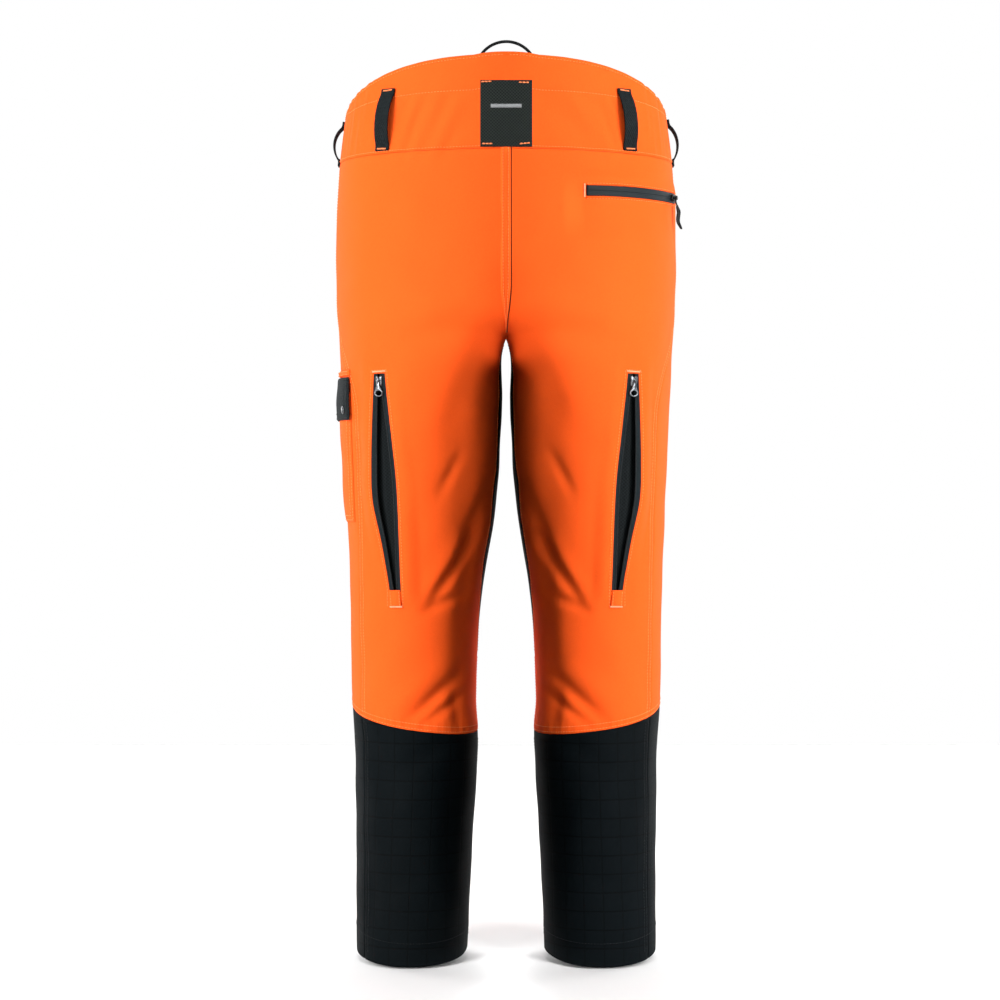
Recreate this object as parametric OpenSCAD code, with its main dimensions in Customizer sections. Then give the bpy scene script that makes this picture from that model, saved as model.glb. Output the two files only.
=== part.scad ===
// Protective work trousers for chainsaw users: stretch-shell seat and thighs,
// hard-wearing lower legs, zipped thigh vents, pockets and cut-protection pads.
// Millimetres. +Z is up, +Y is the way the wearer faces, +X is the wearer's right.
// The origin is on the floor, midway between the two hems.

/* [Garment] */
// Inside leg, from the crotch point down to the floor
inside_leg = 798; // [740:1:860]
// Height from the crotch point up to the top of the back of the waistband
back_rise = 352; // [325:1:375]
// Width across the hips
hip_width = 443; // [420:1:480]
// Thickness of the shell fabric with its seam allowances
shell_t = 3; // [2.5:0.1:3]
// Thickness of the layered cut-protection pad
pad_t = 6; // [4:0.5:7]
// How much lower the hem is at the heel than at the instep
hem_drop = 24; // [0:1:30]

/* [Waistband] */
// Thickness of the folded waistband
band_t = 4; // [3:0.1:4]
// Width of a belt loop
loop_w = 19; // [15:0.5:25]
// Thickness of a belt loop
loop_t = 2.6; // [2:0.1:3]
// Clear depth behind the middle of a belt loop
loop_gap = 9; // [8:0.5:10]
// Width of the label patch on the back of the waistband
label_w = 65; // [50:1:75]
// Diameter of the hanger cord
hanger_d = 4; // [3.5:0.1:5]

/* [Zips] */
// Width of a closed zip with its tapes
zip_w = 13; // [12:0.5:15]
// Length of a thigh vent
vent_length = 272; // [260:1:275]
// Width of a slider
slider_w = 9.6; // [9:0.1:10.5]
// Length of a slider
slider_l = 12.6; // [12:0.1:14]

/* [Hidden] */
$fn = 32;
eps = 0.01;

nominal_leg = 798;
nominal_rise = 352;
nominal_hip = 443;
k_leg = inside_leg / nominal_leg;
k_rise = back_rise / nominal_rise;
k_wide = hip_width / nominal_hip;

// Heights are written for the nominal garment and stretched to the real one.
function high(z) = z <= nominal_leg ? z * k_leg : inside_leg + (z - nominal_leg) * k_rise;

waist_z = 1030;        // seam between the panels and the waistband, at the middle of the back
waist_sag = 5;         // how much lower that seam is at the sides
knee_z = 300;          // nominal height of the seam between thigh and lower leg
label_top_z = 1116;
side_top_z = 1084;
front_top_z = 1076;
back_top_z = nominal_leg + nominal_rise;
crest = 3;             // extra height of the band over the hanger
y_mid = 16.1;          // moves the garment so that the origin is midway between back and front

// One half of the garment at nine-odd heights: height, half width of the garment, distance of the
// leg's axis from the middle, depth behind and before that axis, the axis's own shift, squareness.
stations = [
    [-30, 194.0, 122.5, 84, 80, -4, 2.1],
    [60, 194.0, 121.0, 84, 80, -5, 2.1],
    [200, 194.5, 117.5, 86, 81, -4, 2.1],
    [285, 196.5, 116.5, 84, 84, 0, 2.1],
    [335, 200.0, 119.5, 84, 86, 2, 2.1],
    [460, 202.0, 117.0, 92, 92, 0, 2.1],
    [590, 206.5, 109.5, 103, 98, -4, 2.1],
    [720, 211.5, 108.0, 116, 104, -10, 2.15],
    [798, 215.2, 107.9, 126, 109, -14, 2.2],
    [830, 217.5, 88.0, 132, 112, -13, 2.3],
    [900, 219.5, 38.0, 140, 115, -7, 2.4],
    [960, 218.5, 8.0, 136, 112, -3, 2.4],
    [1030, 214.5, 0.0, 118, 107, 0, 2.4],
    [1150, 199.0, 0.0, 106, 96, 0, 2.35],
];

function clamp01(x) = min(1, max(0, x));
function smooth(x) = let (s = clamp01(x)) s * s * (3 - 2 * s);
function unit(v) = v / norm(v);

// Catmull-Rom curve through the stations, for one column at one height.
function place_of(z, i = 0) = i >= len(stations) - 2 || z < stations[i + 1][0] ? i : place_of(z, i + 1);
function slope(i, col) =
    let (a = max(0, i - 1), b = min(len(stations) - 1, i + 1))
    (stations[b][col] - stations[a][col]) / (stations[b][0] - stations[a][0]);
function at_height(z, col) =
    let (i = place_of(z),
         z0 = stations[i][0],
         h = stations[i + 1][0] - z0,
         s = clamp01((z - z0) / h),
         p0 = stations[i][col],
         p1 = stations[i + 1][col],
         m0 = slope(i, col) * h,
         m1 = slope(i + 1, col) * h)
    (2 * s^3 - 3 * s^2 + 1) * p0 + (s^3 - 2 * s^2 + s) * m0
    + (3 * s^2 - 2 * s^3) * p1 + (s^3 - s^2) * m1;

// The section of the right half at one height, shrunk inwards by inset.
function axis_x(z) = max(0, at_height(z, 2));
function half_w(z, inset) = at_height(z, 1) - axis_x(z) - inset;
function depth(z, t, inset) = at_height(z, t < 0 ? 3 : 4) - inset;
function power(z) = at_height(z, 6);
function bent(x, e) = sign(x) * abs(x)^e;

// Point of the right half: t is 0 at the side, -90 at the back and +90 at the front.
function skin(z, t, inset = 0) = [
    k_wide * (axis_x(z) + half_w(z, inset) * bent(cos(t), 2 / power(z))),
    y_mid + at_height(z, 5) + depth(z, t, inset) * bent(sin(t), 2 / power(z)),
    high(z)];

// Angle where the section all but meets the middle plane: a half turn once the legs are apart.
middle_gap = 0.25;     // from the middle plane to the edge of a panel
function middle_angle(z, inset = 0) =
    let (r = (axis_x(z) - middle_gap) / half_w(z, inset))
    r >= 1 ? 180 : r > 0 ? acos(-(r^(power(z) / 2))) : acos((-r)^(power(z) / 2));
// Angle of the point at a given distance from the middle plane, behind or before.
function angle_at(z, x) =
    let (q = (x / k_wide - axis_x(z)) / half_w(z, 0))
    acos(bent(max(-1, min(1, q)), power(z) / 2));
// Angle of the side seam, which lies behind the thigh and runs forward to the hip.
function side_angle(z) = -36 * (1 - smooth((z - 700) / 170));

// Heights of a row that follows the knee seam low down, the sloping hem at the bottom and the
// sagging waist seam at the top.
function knee_seam(t) =
    t < -150 ? 291
    : t < 0 ? 291 + 35 * ((t + 150) / 150)^1.7
    : 326 - 35 * t / 180 + 75 * sin(t);
function hem_lift(t) = hem_drop / 2 * (1 + sin(t));
function waist_seam(t) = waist_z - waist_sag * cos(t);
function row(z, t) =
    z + (knee_seam(t) - knee_z) * (z < knee_z ? max(0, z / knee_z) : max(0, 1 - (z - knee_z) / 300))
    + hem_lift(t) * max(0, 1 - z / knee_z)
    - waist_sag * cos(t) * max(0, (z - 900) / (waist_z - 900));

// Top edge of the waistband, high at the back, with a low crest over the hanger.
function band_top(t) =
    t < 0 ? side_top_z + (back_top_z - side_top_z) * sin(-t) + crest * max(0, 1 - ((90 + t) / 9)^2)
          : side_top_z - (side_top_z - front_top_z) * sin(t);

// Half the angle of the inner-leg gusset: a long leaf from the crotch to above the knee.
gusset_low = 390;
gusset_high = nominal_leg;
function gusset_half(z) =
    z <= gusset_low - 10 || z > gusset_high ? 0
    : 0.8 + 15 * smooth((z - gusset_low) / 150) * smooth((gusset_high - z) / 60);
// Angle, measured from the side, at which the panels stop on the inside of the leg or body.
function inner_angle(z, inset) = z > gusset_high ? middle_angle(z, inset) : 180 - gusset_half(z);

// ---- solids between two grids of points ----

// Triangles of a closed slab from an outer and an inner grid, each rows by cols points.
function cell(a, b, c, d) = [[a, b, c], [a, c, d]];
function slab_faces(rows, cols) =
    let (n = rows * cols,
         o = function(i, j) i * cols + j,
         q = function(i, j) n + i * cols + j)
    [for (f = concat(
        [for (i = [0:rows - 2], j = [0:cols - 2]) cell(o(i, j), o(i + 1, j), o(i + 1, j + 1), o(i, j + 1))],
        [for (i = [0:rows - 2], j = [0:cols - 2]) cell(q(i, j), q(i, j + 1), q(i + 1, j + 1), q(i + 1, j))],
        [for (i = [0:rows - 2]) cell(o(i, 0), q(i, 0), q(i + 1, 0), o(i + 1, 0))],
        [for (i = [0:rows - 2]) cell(q(i, cols - 1), o(i, cols - 1), o(i + 1, cols - 1), q(i + 1, cols - 1))],
        [for (j = [0:cols - 2]) cell(o(0, j), o(0, j + 1), q(0, j + 1), q(0, j))],
        [for (j = [0:cols - 2]) cell(q(rows - 1, j), q(rows - 1, j + 1), o(rows - 1, j + 1), o(rows - 1, j))]
    )) for (t = f) t];

// Solid between point functions outer(i, j) and inner(i, j).
module slab(rows, cols, outer, inner) {
    polyhedron(
        points = concat(
            [for (i = [0:rows - 1], j = [0:cols - 1]) outer(i, j)],
            [for (i = [0:rows - 1], j = [0:cols - 1]) inner(i, j)]),
        faces = slab_faces(rows, cols),
        convexity = 10);
}

// A patch of the skin between two insets: heights from a list, angles from lo(z) to hi(z).
module skin_patch(heights, cols, lo, hi, out_inset, in_inset, z_of = function(z, t) z) {
    point = function(i, j, inset)
        let (z = heights[i], a = lo(z, inset), b = hi(z, inset), t = a + (b - a) * j / (cols - 1))
        skin(z_of(z, t), t, inset);
    slab(len(heights), cols,
         function(i, j) point(i, j, out_inset),
         function(i, j) point(i, j, in_inset));
}

// Builds the right-hand side, or its mirror for the left.
module sided(side) {
    if (side == "right") children();
    else mirror([1, 0, 0]) children();
}

orange = [1.0, 0.44, 0.15];
black = [0.09, 0.11, 0.12];
charcoal = [0.19, 0.22, 0.23];
silver = [0.72, 0.74, 0.76];

joint_gap = 0.3;       // between one panel and the next
seam_angle = 0.2;      // the same gap round the leg, in degrees
upper_rows = [knee_z + joint_gap, 340, 380, 390, 450, 520, 590, 650, 700, 740, 770, 790, 798,
              806, 820, 845, 880, 920, 960, 995, waist_z];
gusset_rows = [for (z = upper_rows) if (z >= gusset_low && z <= gusset_high) z];
lower_rows = [0, 40, 90, 140, 190, 240, 275, knee_z];
back_cols = 12;
front_cols = 16;

// ---- shell panels ----

module back_panel(side) {
    color(orange) sided(side) difference() {
        skin_patch(upper_rows, back_cols,
            function(z, inset) -inner_angle(z, inset), function(z, inset) side_angle(z),
            0, shell_t, function(z, t) row(z, t));
        vent_frame() translate([0, 0, -12]) linear_extrude(24) vent_outline();
        if (side == "right") hip_slot();
    }
}

module front_panel(side) {
    color(orange) sided(side) difference() {
        skin_patch(upper_rows, front_cols,
            function(z, inset) side_angle(z) + seam_angle, function(z, inset) inner_angle(z, inset),
            0, shell_t, function(z, t) row(z, t));
        front_zip_frame()
            translate([-zip_w / 2 - 0.1, -front_zip_length, -10]) cube([zip_w + 0.2, front_zip_length, 20]);
        fly_frame()
            translate([-fly_slot_w / 2, -fly_length + 3, -6]) cube([fly_slot_w, fly_length - 2, 20]);
    }
}

module inner_gusset(side) {
    color(black) sided(side)
        skin_patch(gusset_rows, 5,
            function(z, inset) 180 + seam_angle - gusset_half(z), function(z, inset) 180 - seam_angle + gusset_half(z),
            0, shell_t, function(z, t) row(z, t > 180 ? t - 360 : t));
}

module lower_back_panel(side) {
    color(black) sided(side)
        skin_patch(lower_rows, back_cols,
            function(z, inset) seam_angle - 180, function(z, inset) side_angle(z),
            0, shell_t, function(z, t) row(z, t));
}

module lower_front_panel(side) {
    color(black) sided(side)
        skin_patch(lower_rows, front_cols,
            function(z, inset) side_angle(z) + seam_angle, function(z, inset) 180,
            0, shell_t, function(z, t) row(z, t));
}

// Turned-in bands inside the bottoms of the legs.
module hem_facings() {
    color(black)
        for (side = ["right", "left"]) sided(side)
            for (ends = [[-180, 0], [0, 180]])
                skin_patch([1, 34], back_cols,
                    function(z, inset) ends[0], function(z, inset) ends[1],
                    shell_t + 1, shell_t + 2.6, function(z, t) row(z, t));
}

// ---- protection ----

pad_rows = [60, 120, 200, 280, 350, 430, 520, 610, 700, 765];
pad_inset = shell_t + 2.6;
pad_cols = 14;

module protection_pad(side) {
    color([0.92, 0.9, 0.82]) sided(side)
        skin_patch(pad_rows, pad_cols,
            function(z, inset) 6, function(z, inset) 174, pad_inset, pad_inset + pad_t,
            function(z, t) row(z, t));
}

module leg_lining(side) {
    color(charcoal) sided(side)
        skin_patch(pad_rows, pad_cols,
            function(z, inset) 6, function(z, inset) 174, pad_inset + pad_t + 0.6, pad_inset + pad_t + 1.8,
            function(z, t) row(z, t));
}

// ---- waistband ----

band_rows = 5;

// Part of the waistband between two angles, from inset a to inset b, with its edges moved in.
module band_patch(t0, t1, cols, a, b, lower = 0, lift = joint_gap) {
    point = function(i, j, inset)
        let (t = t0 + (t1 - t0) * j / (cols - 1),
             z0 = waist_seam(t) + lift,
             z = z0 + (band_top(t) - lower - z0) * i / (band_rows - 1))
        skin(z, t, inset);
    slab(band_rows, cols, function(i, j) point(i, j, a), function(i, j) point(i, j, b));
}

module waistband_back() {
    color(orange) union() {
        for (side = ["right", "left"]) sided(side) band_patch(-90, 0, 16, 0, band_t);
    }
}

module waistband_front(side) {
    color(orange) sided(side) band_patch(0, 89.95, 12, 0, band_t);
}

// Brushed facing sewn inside the waistband, open at the fly.
module waistband_facing() {
    color(charcoal) union() {
        for (side = ["right", "left"])
            sided(side) band_patch(-90, 86, 24, band_t + 0.5, band_t + 1.9, 6, 3);
    }
}

// A belt loop at an angle round the waist, bowed away from the band with both ends folded flat.
module belt_loop(side, t, ends) {
    p0 = skin(ends[0], t);
    p1 = skin(ends[1], t);
    ahead = skin(ends[0], t + 3) - skin(ends[0], t - 3);
    along = unit([ahead[0], ahead[1], 0]);
    up = unit(p1 - p0);
    out = cross(along, up);
    span = norm(p1 - p0);
    foot = 8;
    // bow of one face of the strap, from foot to foot
    bow = function(h, extra)
        let (s = clamp01((h - foot) / (span - 2 * foot))) extra + loop_gap * (4 * s * (1 - s))^0.8;
    steps = 12;
    hs = concat([0], [for (i = [0:steps]) foot + (span - 2 * foot) * i / steps], [span]);
    inner = [for (h = hs) [h, bow(h, 0.8)]];
    outer = [for (i = [len(hs) - 1:-1:0]) [hs[i], bow(hs[i], 0.8 + loop_t)]];
    color(black) sided(side)
        multmatrix([[up[0], out[0], along[0], p0[0]],
                    [up[1], out[1], along[1], p0[1]],
                    [up[2], out[2], along[2], p0[2]],
                    [0, 0, 0, 1]])
            translate([0, 0, -loop_w / 2]) linear_extrude(loop_w) polygon(concat(inner, outer));
}

rear_loop_t = -47;
front_loop_t = 52;
rear_loop = [waist_z, 1109];
side_loop_left = [1023, 1080];
side_loop_right = [1023, 1083];
front_loop = [1024, 1073];

// Woven patch on the middle of the back, lying on the band from its seam upwards.
module label_patch() {
    rows = 5;
    cols = 9;
    z0 = waist_z + 1;
    height = label_top_z - z0;
    point = function(i, j, lift)
        back_point(z0 + height * i / (rows - 1), label_w * (j / (cols - 1) - 0.5), lift);
    color(charcoal)
        slab(rows, cols, function(i, j) point(i, j, 2.2), function(i, j) point(i, j, 0.7));
}

// Points at a signed distance from the middle of the back or front, standing off by lift.
function back_point(z, x, lift) =
    let (p = skin(z, -angle_at(z, abs(x)))) [x, p[1] - lift, p[2]];
function front_point(z, x, lift) =
    let (p = skin(z, angle_at(z, abs(x)))) [x, p[1] + lift, p[2]];

// Cord arch that stands up from the inside of the waistband at the middle of the back.
hanger_span = 74.5;
hanger_rise = 28.6;
hanger_y = skin(back_top_z, -90)[1] + band_t + 1.9 + hanger_d / 2 + 0.9;
hanger_foot_z = high(back_top_z) - 12;

module hanger_loop() {
    radius = (hanger_span^2 / 4 + hanger_rise^2) / (2 * hanger_rise);
    half = asin(hanger_span / 2 / radius);
    color(black)
        translate([0, hanger_y, hanger_foot_z + hanger_rise - radius]) rotate([90, 0, 0])
            rotate([0, 0, 90 - half]) rotate_extrude(angle = 2 * half)
                translate([radius, 0]) circle(d = hanger_d);
}

// Folded tabs that hold the two ends of the hanger cord inside the band.
module hanger_tab() {
    color(charcoal)
        for (s = [-1, 1])
            translate([s * hanger_span / 2 - 8, hanger_y + hanger_d / 2 + 0.2, hanger_foot_z - 4])
                cube([16, 1.6, 16]);
}

// ---- zips ----

tape_t = 1.4;
chain_w = 5;
chain_h = 1.6;
stand_off = 0.3;      // running clearance between a slider and its tapes
plate_t = 1.2;
bridge_r = 0.8;
bridge_slack = 0.08;  // running clearance of a pull on its bridge pin
eye_r = 1.8;
pull_t = 1.6;
pull_l = 20;
pull_eye_w = 3.2;
bridge_h = plate_t + eye_r + 0.2;   // height of the bridge pin above the slider's underside
chain_gap = chain_h + stand_off;    // room for the chain under a slider that straddles it

// Moves children to a frame whose Y is up the zip, Z is away from the garment, at point p.
module zip_frame(p, q, facing) {
    up = unit(p - q);
    across = unit(cross(up, facing));
    out = cross(across, up);
    multmatrix([[across[0], up[0], out[0], p[0]],
                [across[1], up[1], out[1], p[1]],
                [across[2], up[2], out[2], p[2]],
                [0, 0, 0, 1]]) children();
}

// Slider with its top at the origin, running down -Y: a plate, two cheeks that straddle the chain
// in a gap of the given height, and the bridge that carries the pull.
module slider(gap) {
    color(silver) union() {
        difference() {
            translate([-slider_w / 2, -slider_l, 0]) cube([slider_w, slider_l, plate_t + gap]);
            translate([-chain_w / 2 - 0.4, -slider_l - 1, -1]) cube([chain_w + 0.8, slider_l + 2, gap + 1]);
        }
        for (s = [-1, 1])
            translate([s * (pull_eye_w / 2 + 0.9) - 0.6, -slider_l * 0.45 - 1.3, gap + plate_t - eps])
                cube([1.2, 2.6, bridge_h - plate_t + bridge_r + 0.3]);
        translate([-pull_eye_w / 2 - 1.4, -slider_l * 0.45, bridge_h + gap])
            rotate([0, 90, 0]) cylinder(r = bridge_r, h = pull_eye_w + 2.8);
    }
}

// Pull tab hanging from the bridge pin: an eye, a waist and a wide ring at the end.
module zip_pull(gap) {
    ring_r = 5.8;
    color(silver)
        translate([0, -slider_l * 0.45, bridge_h + gap])
            difference() {
                union() {
                    translate([-pull_eye_w / 2, 0, 0]) rotate([0, 90, 0]) cylinder(r = eye_r, h = pull_eye_w);
                    translate([-pull_eye_w / 2, -7, -pull_t / 2]) cube([pull_eye_w, 7, pull_t]);
                    translate([0, 0, -pull_t / 2]) linear_extrude(pull_t)
                        polygon([[-1.6, -5], [1.6, -5], [4.4, -11], [-4.4, -11]]);
                    translate([0, -pull_l + ring_r, -pull_t / 2]) cylinder(r = ring_r, h = pull_t);
                }
                translate([-pull_eye_w / 2 - 1, 0, 0]) rotate([0, 90, 0])
                    cylinder(r = bridge_r + bridge_slack, h = pull_eye_w + 2);
                translate([0, -pull_l + ring_r, -pull_t]) cylinder(r = ring_r - 1.9, h = pull_t * 2);
            }
}

// ---- thigh vents ----

vent_facing = [0.42, -0.9, 0];
vent_out = unit(vent_facing);
vent_top = skin(747, -62) - 2.5 * vent_out;
vent_bottom = skin(747 - vent_length, -75) - 0.8 * vent_out;
vent_s = norm(vent_top - vent_bottom) / 272;

module vent_frame() { zip_frame(vent_top, vent_bottom, vent_facing) children(); }

// Edges of the open vent: distance down the zip, then side. Outer is towards the side seam.
vent_outer_edge = [[0, 7.2], [34, 10.8], [80, 15.6], [148, 21], [172, 19.8], [206, 14.4], [272, 8.2]];
vent_inner_edge = [[0, -7.6], [80, -11.7], [129, -14.2], [172, -13.2], [220, -10.8], [272, -8.1]];
tape_w = 6;
placket_l = 20;
mesh_inset = 8;

function edge_at(edge, s, i = 0) =
    i >= len(edge) - 2 || s <= edge[i + 1][0]
        ? let (f = (s - edge[i][0]) / (edge[i + 1][0] - edge[i][0])) edge[i][1] + (edge[i + 1][1] - edge[i][1]) * f
        : edge_at(edge, s, i + 1);
vent_marks = [for (i = [0:17]) 16 * i];

module vent_outline() {
    polygon(concat(
        [for (s = vent_marks) [edge_at(vent_outer_edge, s), -s * vent_s]],
        [for (i = [len(vent_marks) - 1:-1:0])
            let (s = vent_marks[i]) [edge_at(vent_inner_edge, s), -s * vent_s]]));
}

// The two tapes of an open vent, each running along one edge of the opening.
module vent_tapes(side) {
    color(charcoal) sided(side) vent_frame() translate([0, 0, -tape_t / 2]) linear_extrude(tape_t)
        for (e = [[vent_outer_edge, -1], [vent_inner_edge, 1]])
            polygon(concat(
                [for (s = vent_marks) [edge_at(e[0], s) + e[1] * 0.1, -s * vent_s]],
                [for (i = [len(vent_marks) - 1:-1:0])
                    let (s = vent_marks[i]) [edge_at(e[0], s) + e[1] * tape_w, -s * vent_s]]));
}

// Point of the skin behind a place on the vent: s down the zip, x across it.
function behind_vent(s, x, inset) =
    let (up = unit(vent_top - vent_bottom),
         across = unit(cross(up, vent_facing)),
         p = vent_top - s * vent_s * up + x * across)
    skin(p[2], -angle_at(p[2], p[0]), inset);

// Knitted mesh bellows behind the opening, wider than it on both sides.
module vent_mesh(side) {
    cols = 6;
    point = function(i, j, inset)
        let (s = vent_marks[i], f = j / (cols - 1))
        behind_vent(s, (edge_at(vent_inner_edge, s) - 6) * (1 - f) + (edge_at(vent_outer_edge, s) + 6) * f, inset);
    color(black) sided(side)
        slab(len(vent_marks), cols,
            function(i, j) point(i, j, mesh_inset), function(i, j) point(i, j, mesh_inset + 1.2));
}

// Closed ends of the plackets below the zips.
module vent_plackets() {
    color(orange) for (side = ["right", "left"]) sided(side) vent_frame()
        translate([-8, -272 * vent_s - placket_l, 2.45]) cube([16, placket_l - 0.3, 0.65]);
}

// Open-ended slider that runs on both tapes: a plate above them, one below and a post between.
module vent_slider(side) {
    level = tape_t / 2 + stand_off;
    color(silver) sided(side) vent_frame() translate([0, -2, 0]) {
        translate([0, 0, level]) slider(0);
        translate([-0.7, -slider_l * 0.75, -level - eps]) cube([1.4, slider_l * 0.5, 2 * (level + eps)]);
        translate([-slider_w / 2, -slider_l, -level - 1]) cube([slider_w, slider_l, 1]);
    }
}

module vent_pull(side) {
    sided(side) vent_frame() translate([0, -2, tape_t / 2 + stand_off]) zip_pull(0);
}

// ---- hip pocket on the wearer's right ----

hip_z = 976;
hip_axis = [88 * k_wide, y_mid + 15.5];
hip_r = 139.5;        // radius of the back panel's outer face along the zip
hip_tape_r = hip_r - 0.4;
hip_from = -85;       // angles of the two ends of the zip about hip_axis
hip_to = -24;

module hip_ring(a0, a1, r0, r1, z0, z1) {
    translate([hip_axis[0], hip_axis[1], high(hip_z)]) rotate([0, 0, a0])
        rotate_extrude(angle = a1 - a0, $fn = 96) translate([r0, z0]) square([r1 - r0, z1 - z0]);
}

module hip_slot() {
    hip_ring(hip_from - 0.05, hip_to + 0.05, hip_r - 20, hip_r + 20, -zip_w / 2 - 0.1, zip_w / 2 + 0.1);
}

module hip_zip_tape() {
    color(charcoal) union() {
        hip_ring(hip_from, hip_to, hip_tape_r - tape_t, hip_tape_r, -zip_w / 2, zip_w / 2);
        hip_ring(hip_from + 1, hip_to - 1, hip_tape_r - eps, hip_tape_r + chain_h, -chain_w / 2, chain_w / 2);
    }
}

// Frame of the hip slider: X is down, Y runs along the zip and Z is away from the garment.
module hip_slider_frame() {
    translate([hip_axis[0], hip_axis[1], high(hip_z)]) rotate([0, 0, hip_to - 1])
        translate([hip_tape_r + stand_off, 0, 0])
            multmatrix([[0, 0, 1, 0], [0, 1, 0, 0], [-1, 0, 0, 0], [0, 0, 0, 1]]) children();
}

// The slider stands a little clear of the chain because the zip is curved.
hip_lift = 0.4;
hip_post_r = 1.6;
hip_plate_z = hip_lift + chain_gap + plate_t;   // top of the slider's plate

module hip_slider() {
    color(silver) hip_slider_frame() union() {
        difference() {
            translate([-slider_w / 2, -slider_l, hip_lift]) cube([slider_w, slider_l, chain_gap + plate_t]);
            translate([-chain_w / 2 - 0.5, -slider_l - 1, -1]) cube([chain_w + 1, slider_l + 2, hip_lift + chain_gap + 1]);
        }
        translate([0, -slider_l / 2, hip_plate_z - eps]) cylinder(r = hip_post_r, h = 3.7);
        translate([0, -slider_l / 2, hip_plate_z + 3.4]) cylinder(r = hip_post_r + 1.2, h = 0.8);
    }
}

// Cord pull hanging from the post of the hip slider: a ring, then a soft moulded grip that is
// bent away from the garment, so that it passes over the fuller seat at the far end of the zip.
hip_pull_l = 32;
hip_pull_bend = 15;

module hip_pull() {
    color(charcoal) hip_slider_frame()
        translate([0, -slider_l / 2, hip_plate_z + 1.8])
            difference() {
                union() {
                    cylinder(r = 3.6, h = 2.4, center = true);
                    linear_extrude(2.4, center = true) polygon([[1, -2], [9, -1.4], [9, 1.4], [1, 2]]);
                    translate([8.6, 0, 0]) rotate([0, -hip_pull_bend, 0]) linear_extrude(3, center = true)
                        polygon([[0, -1.8], [4, -2.8], [17, -2.9], [26, -2.5], [hip_pull_l, -1.6],
                                 [hip_pull_l, 1.6], [26, 2.5], [17, 2.9], [4, 2.8], [0, 1.8]]);
                }
                cylinder(r = hip_post_r + bridge_slack, h = 6, center = true);
            }
}

// Pocket bag hanging inside the right back panel.
module hip_pocket_bag() {
    color(black)
        skin_patch([842, 880, 920, 966], 8,
            function(z, inset) -66, function(z, inset) -14, shell_t + 1.4, shell_t + 3);
}

// ---- front hip pockets ----

front_zip_length = 150;
front_zip_bulge = 4.4;    // how far the middle of the curved zip stands out from its chord
front_zip_r = (front_zip_length^2 / 4 + front_zip_bulge^2) / (2 * front_zip_bulge);
front_zip_half = asin(front_zip_length / 2 / front_zip_r);
front_zip_top = skin(1012, 46);
front_zip_bottom = skin(1012 - front_zip_length, 38);
front_zip_facing = [0.62, 0.78, 0];
front_tape_z = -0.8;      // outer face of the tape, from the chord of the panel

module front_zip_frame() { zip_frame(front_zip_top, front_zip_bottom, front_zip_facing) children(); }

// Frame at an angle up the curved zip: Y runs up along it and Z is away from the garment.
module front_arc_frame(a) {
    front_zip_frame()
        translate([0, -front_zip_length / 2, front_zip_bulge - front_zip_r]) rotate([-a, 0, 0])
            translate([0, 0, front_zip_r + front_tape_z]) children();
}

module front_arc(a0, a1, r0, r1, w) {
    front_zip_frame()
        translate([0, -front_zip_length / 2, front_zip_bulge - front_zip_r])
            multmatrix([[0, 0, -1, 0], [0, 1, 0, 0], [1, 0, 0, 0], [0, 0, 0, 1]])
                rotate([0, 0, a0]) rotate_extrude(angle = a1 - a0, $fn = 360)
                    translate([front_zip_r + front_tape_z + r0, -w / 2]) square([r1 - r0, w]);
}

module front_zip_tape(side) {
    end = front_zip_half - 0.05;
    color(charcoal) sided(side) union() {
        front_arc(-end, end, -tape_t, 0, zip_w);
        front_arc(-end + 0.2, end - 0.2, -eps, chain_h, chain_w);
    }
}

module front_zip_slider(side) {
    sided(side) front_arc_frame(front_zip_half - 0.4) translate([0, 0, stand_off]) slider(chain_gap);
}

module front_zip_pull(side) {
    sided(side) front_arc_frame(front_zip_half - 0.4) translate([0, 0, stand_off]) zip_pull(chain_gap);
}

module front_pocket_bag(side) {
    color(black) sided(side)
        skin_patch([830, 880, 940, 1000], 8,
            function(z, inset) 22, function(z, inset) 66, shell_t + 1.4, shell_t + 3);
}

// ---- fly ----

fly_length = 124;
fly_high = 1022;
fly_depth = 5.2;       // back of the tape, from the front of the panels
fly_top = skin(fly_high, 90) - [0, fly_depth, 0];
fly_bottom = front_point(fly_high - fly_length, 0, -fly_depth);
fly_slot_w = 12.6;     // room between the front panels for the slider and its pull
fly_cover_t = 2;
fly_cover_lift = 4.4;
fly_cover_edges = [-27, 19];

module fly_frame() { zip_frame(fly_top, fly_bottom, [0, 1, 0]) children(); }

module fly_zip_tape() {
    color(charcoal) fly_frame() union() {
        translate([-zip_w / 2, -fly_length, 0]) cube([zip_w, fly_length, tape_t]);
        translate([-chain_w / 2, -fly_length + 4, tape_t - eps]) cube([chain_w, fly_length - 6, chain_h]);
    }
}

module fly_slider() { fly_frame() translate([0, -2, tape_t + stand_off]) slider(chain_gap); }

module fly_pull() { fly_frame() translate([0, -2, tape_t + stand_off]) zip_pull(chain_gap); }

// Overlap that hides the zip, hinged at its sewn edge on the wearer's left.
module fly_cover() {
    rows = [fly_high - fly_length - 14, 930, 960, 990, fly_high];
    cols = 9;
    width = fly_cover_edges[1] - fly_cover_edges[0];
    lift = function(j) 0.7 + (fly_cover_lift - 0.7) * smooth(j / (cols - 1) * width / 12);
    point = function(i, j, up) front_point(rows[i], fly_cover_edges[0] + width * j / (cols - 1), lift(j) + up);
    color(orange)
        slab(len(rows), cols, function(i, j) point(i, j, fly_cover_t), function(i, j) point(i, j, 0));
}

// Waist tab that laps over the front of the band, with a press stud.
tab_z = 1052;
tab_h = 32;
tab_y = front_point(tab_z - tab_h / 2, 0, 2.6)[1];
stud_x = 22;

module waist_tab() {
    color(orange) translate([-34, tab_y, high(tab_z) - tab_h / 2]) cube([68, 2.4, tab_h]);
}

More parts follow.
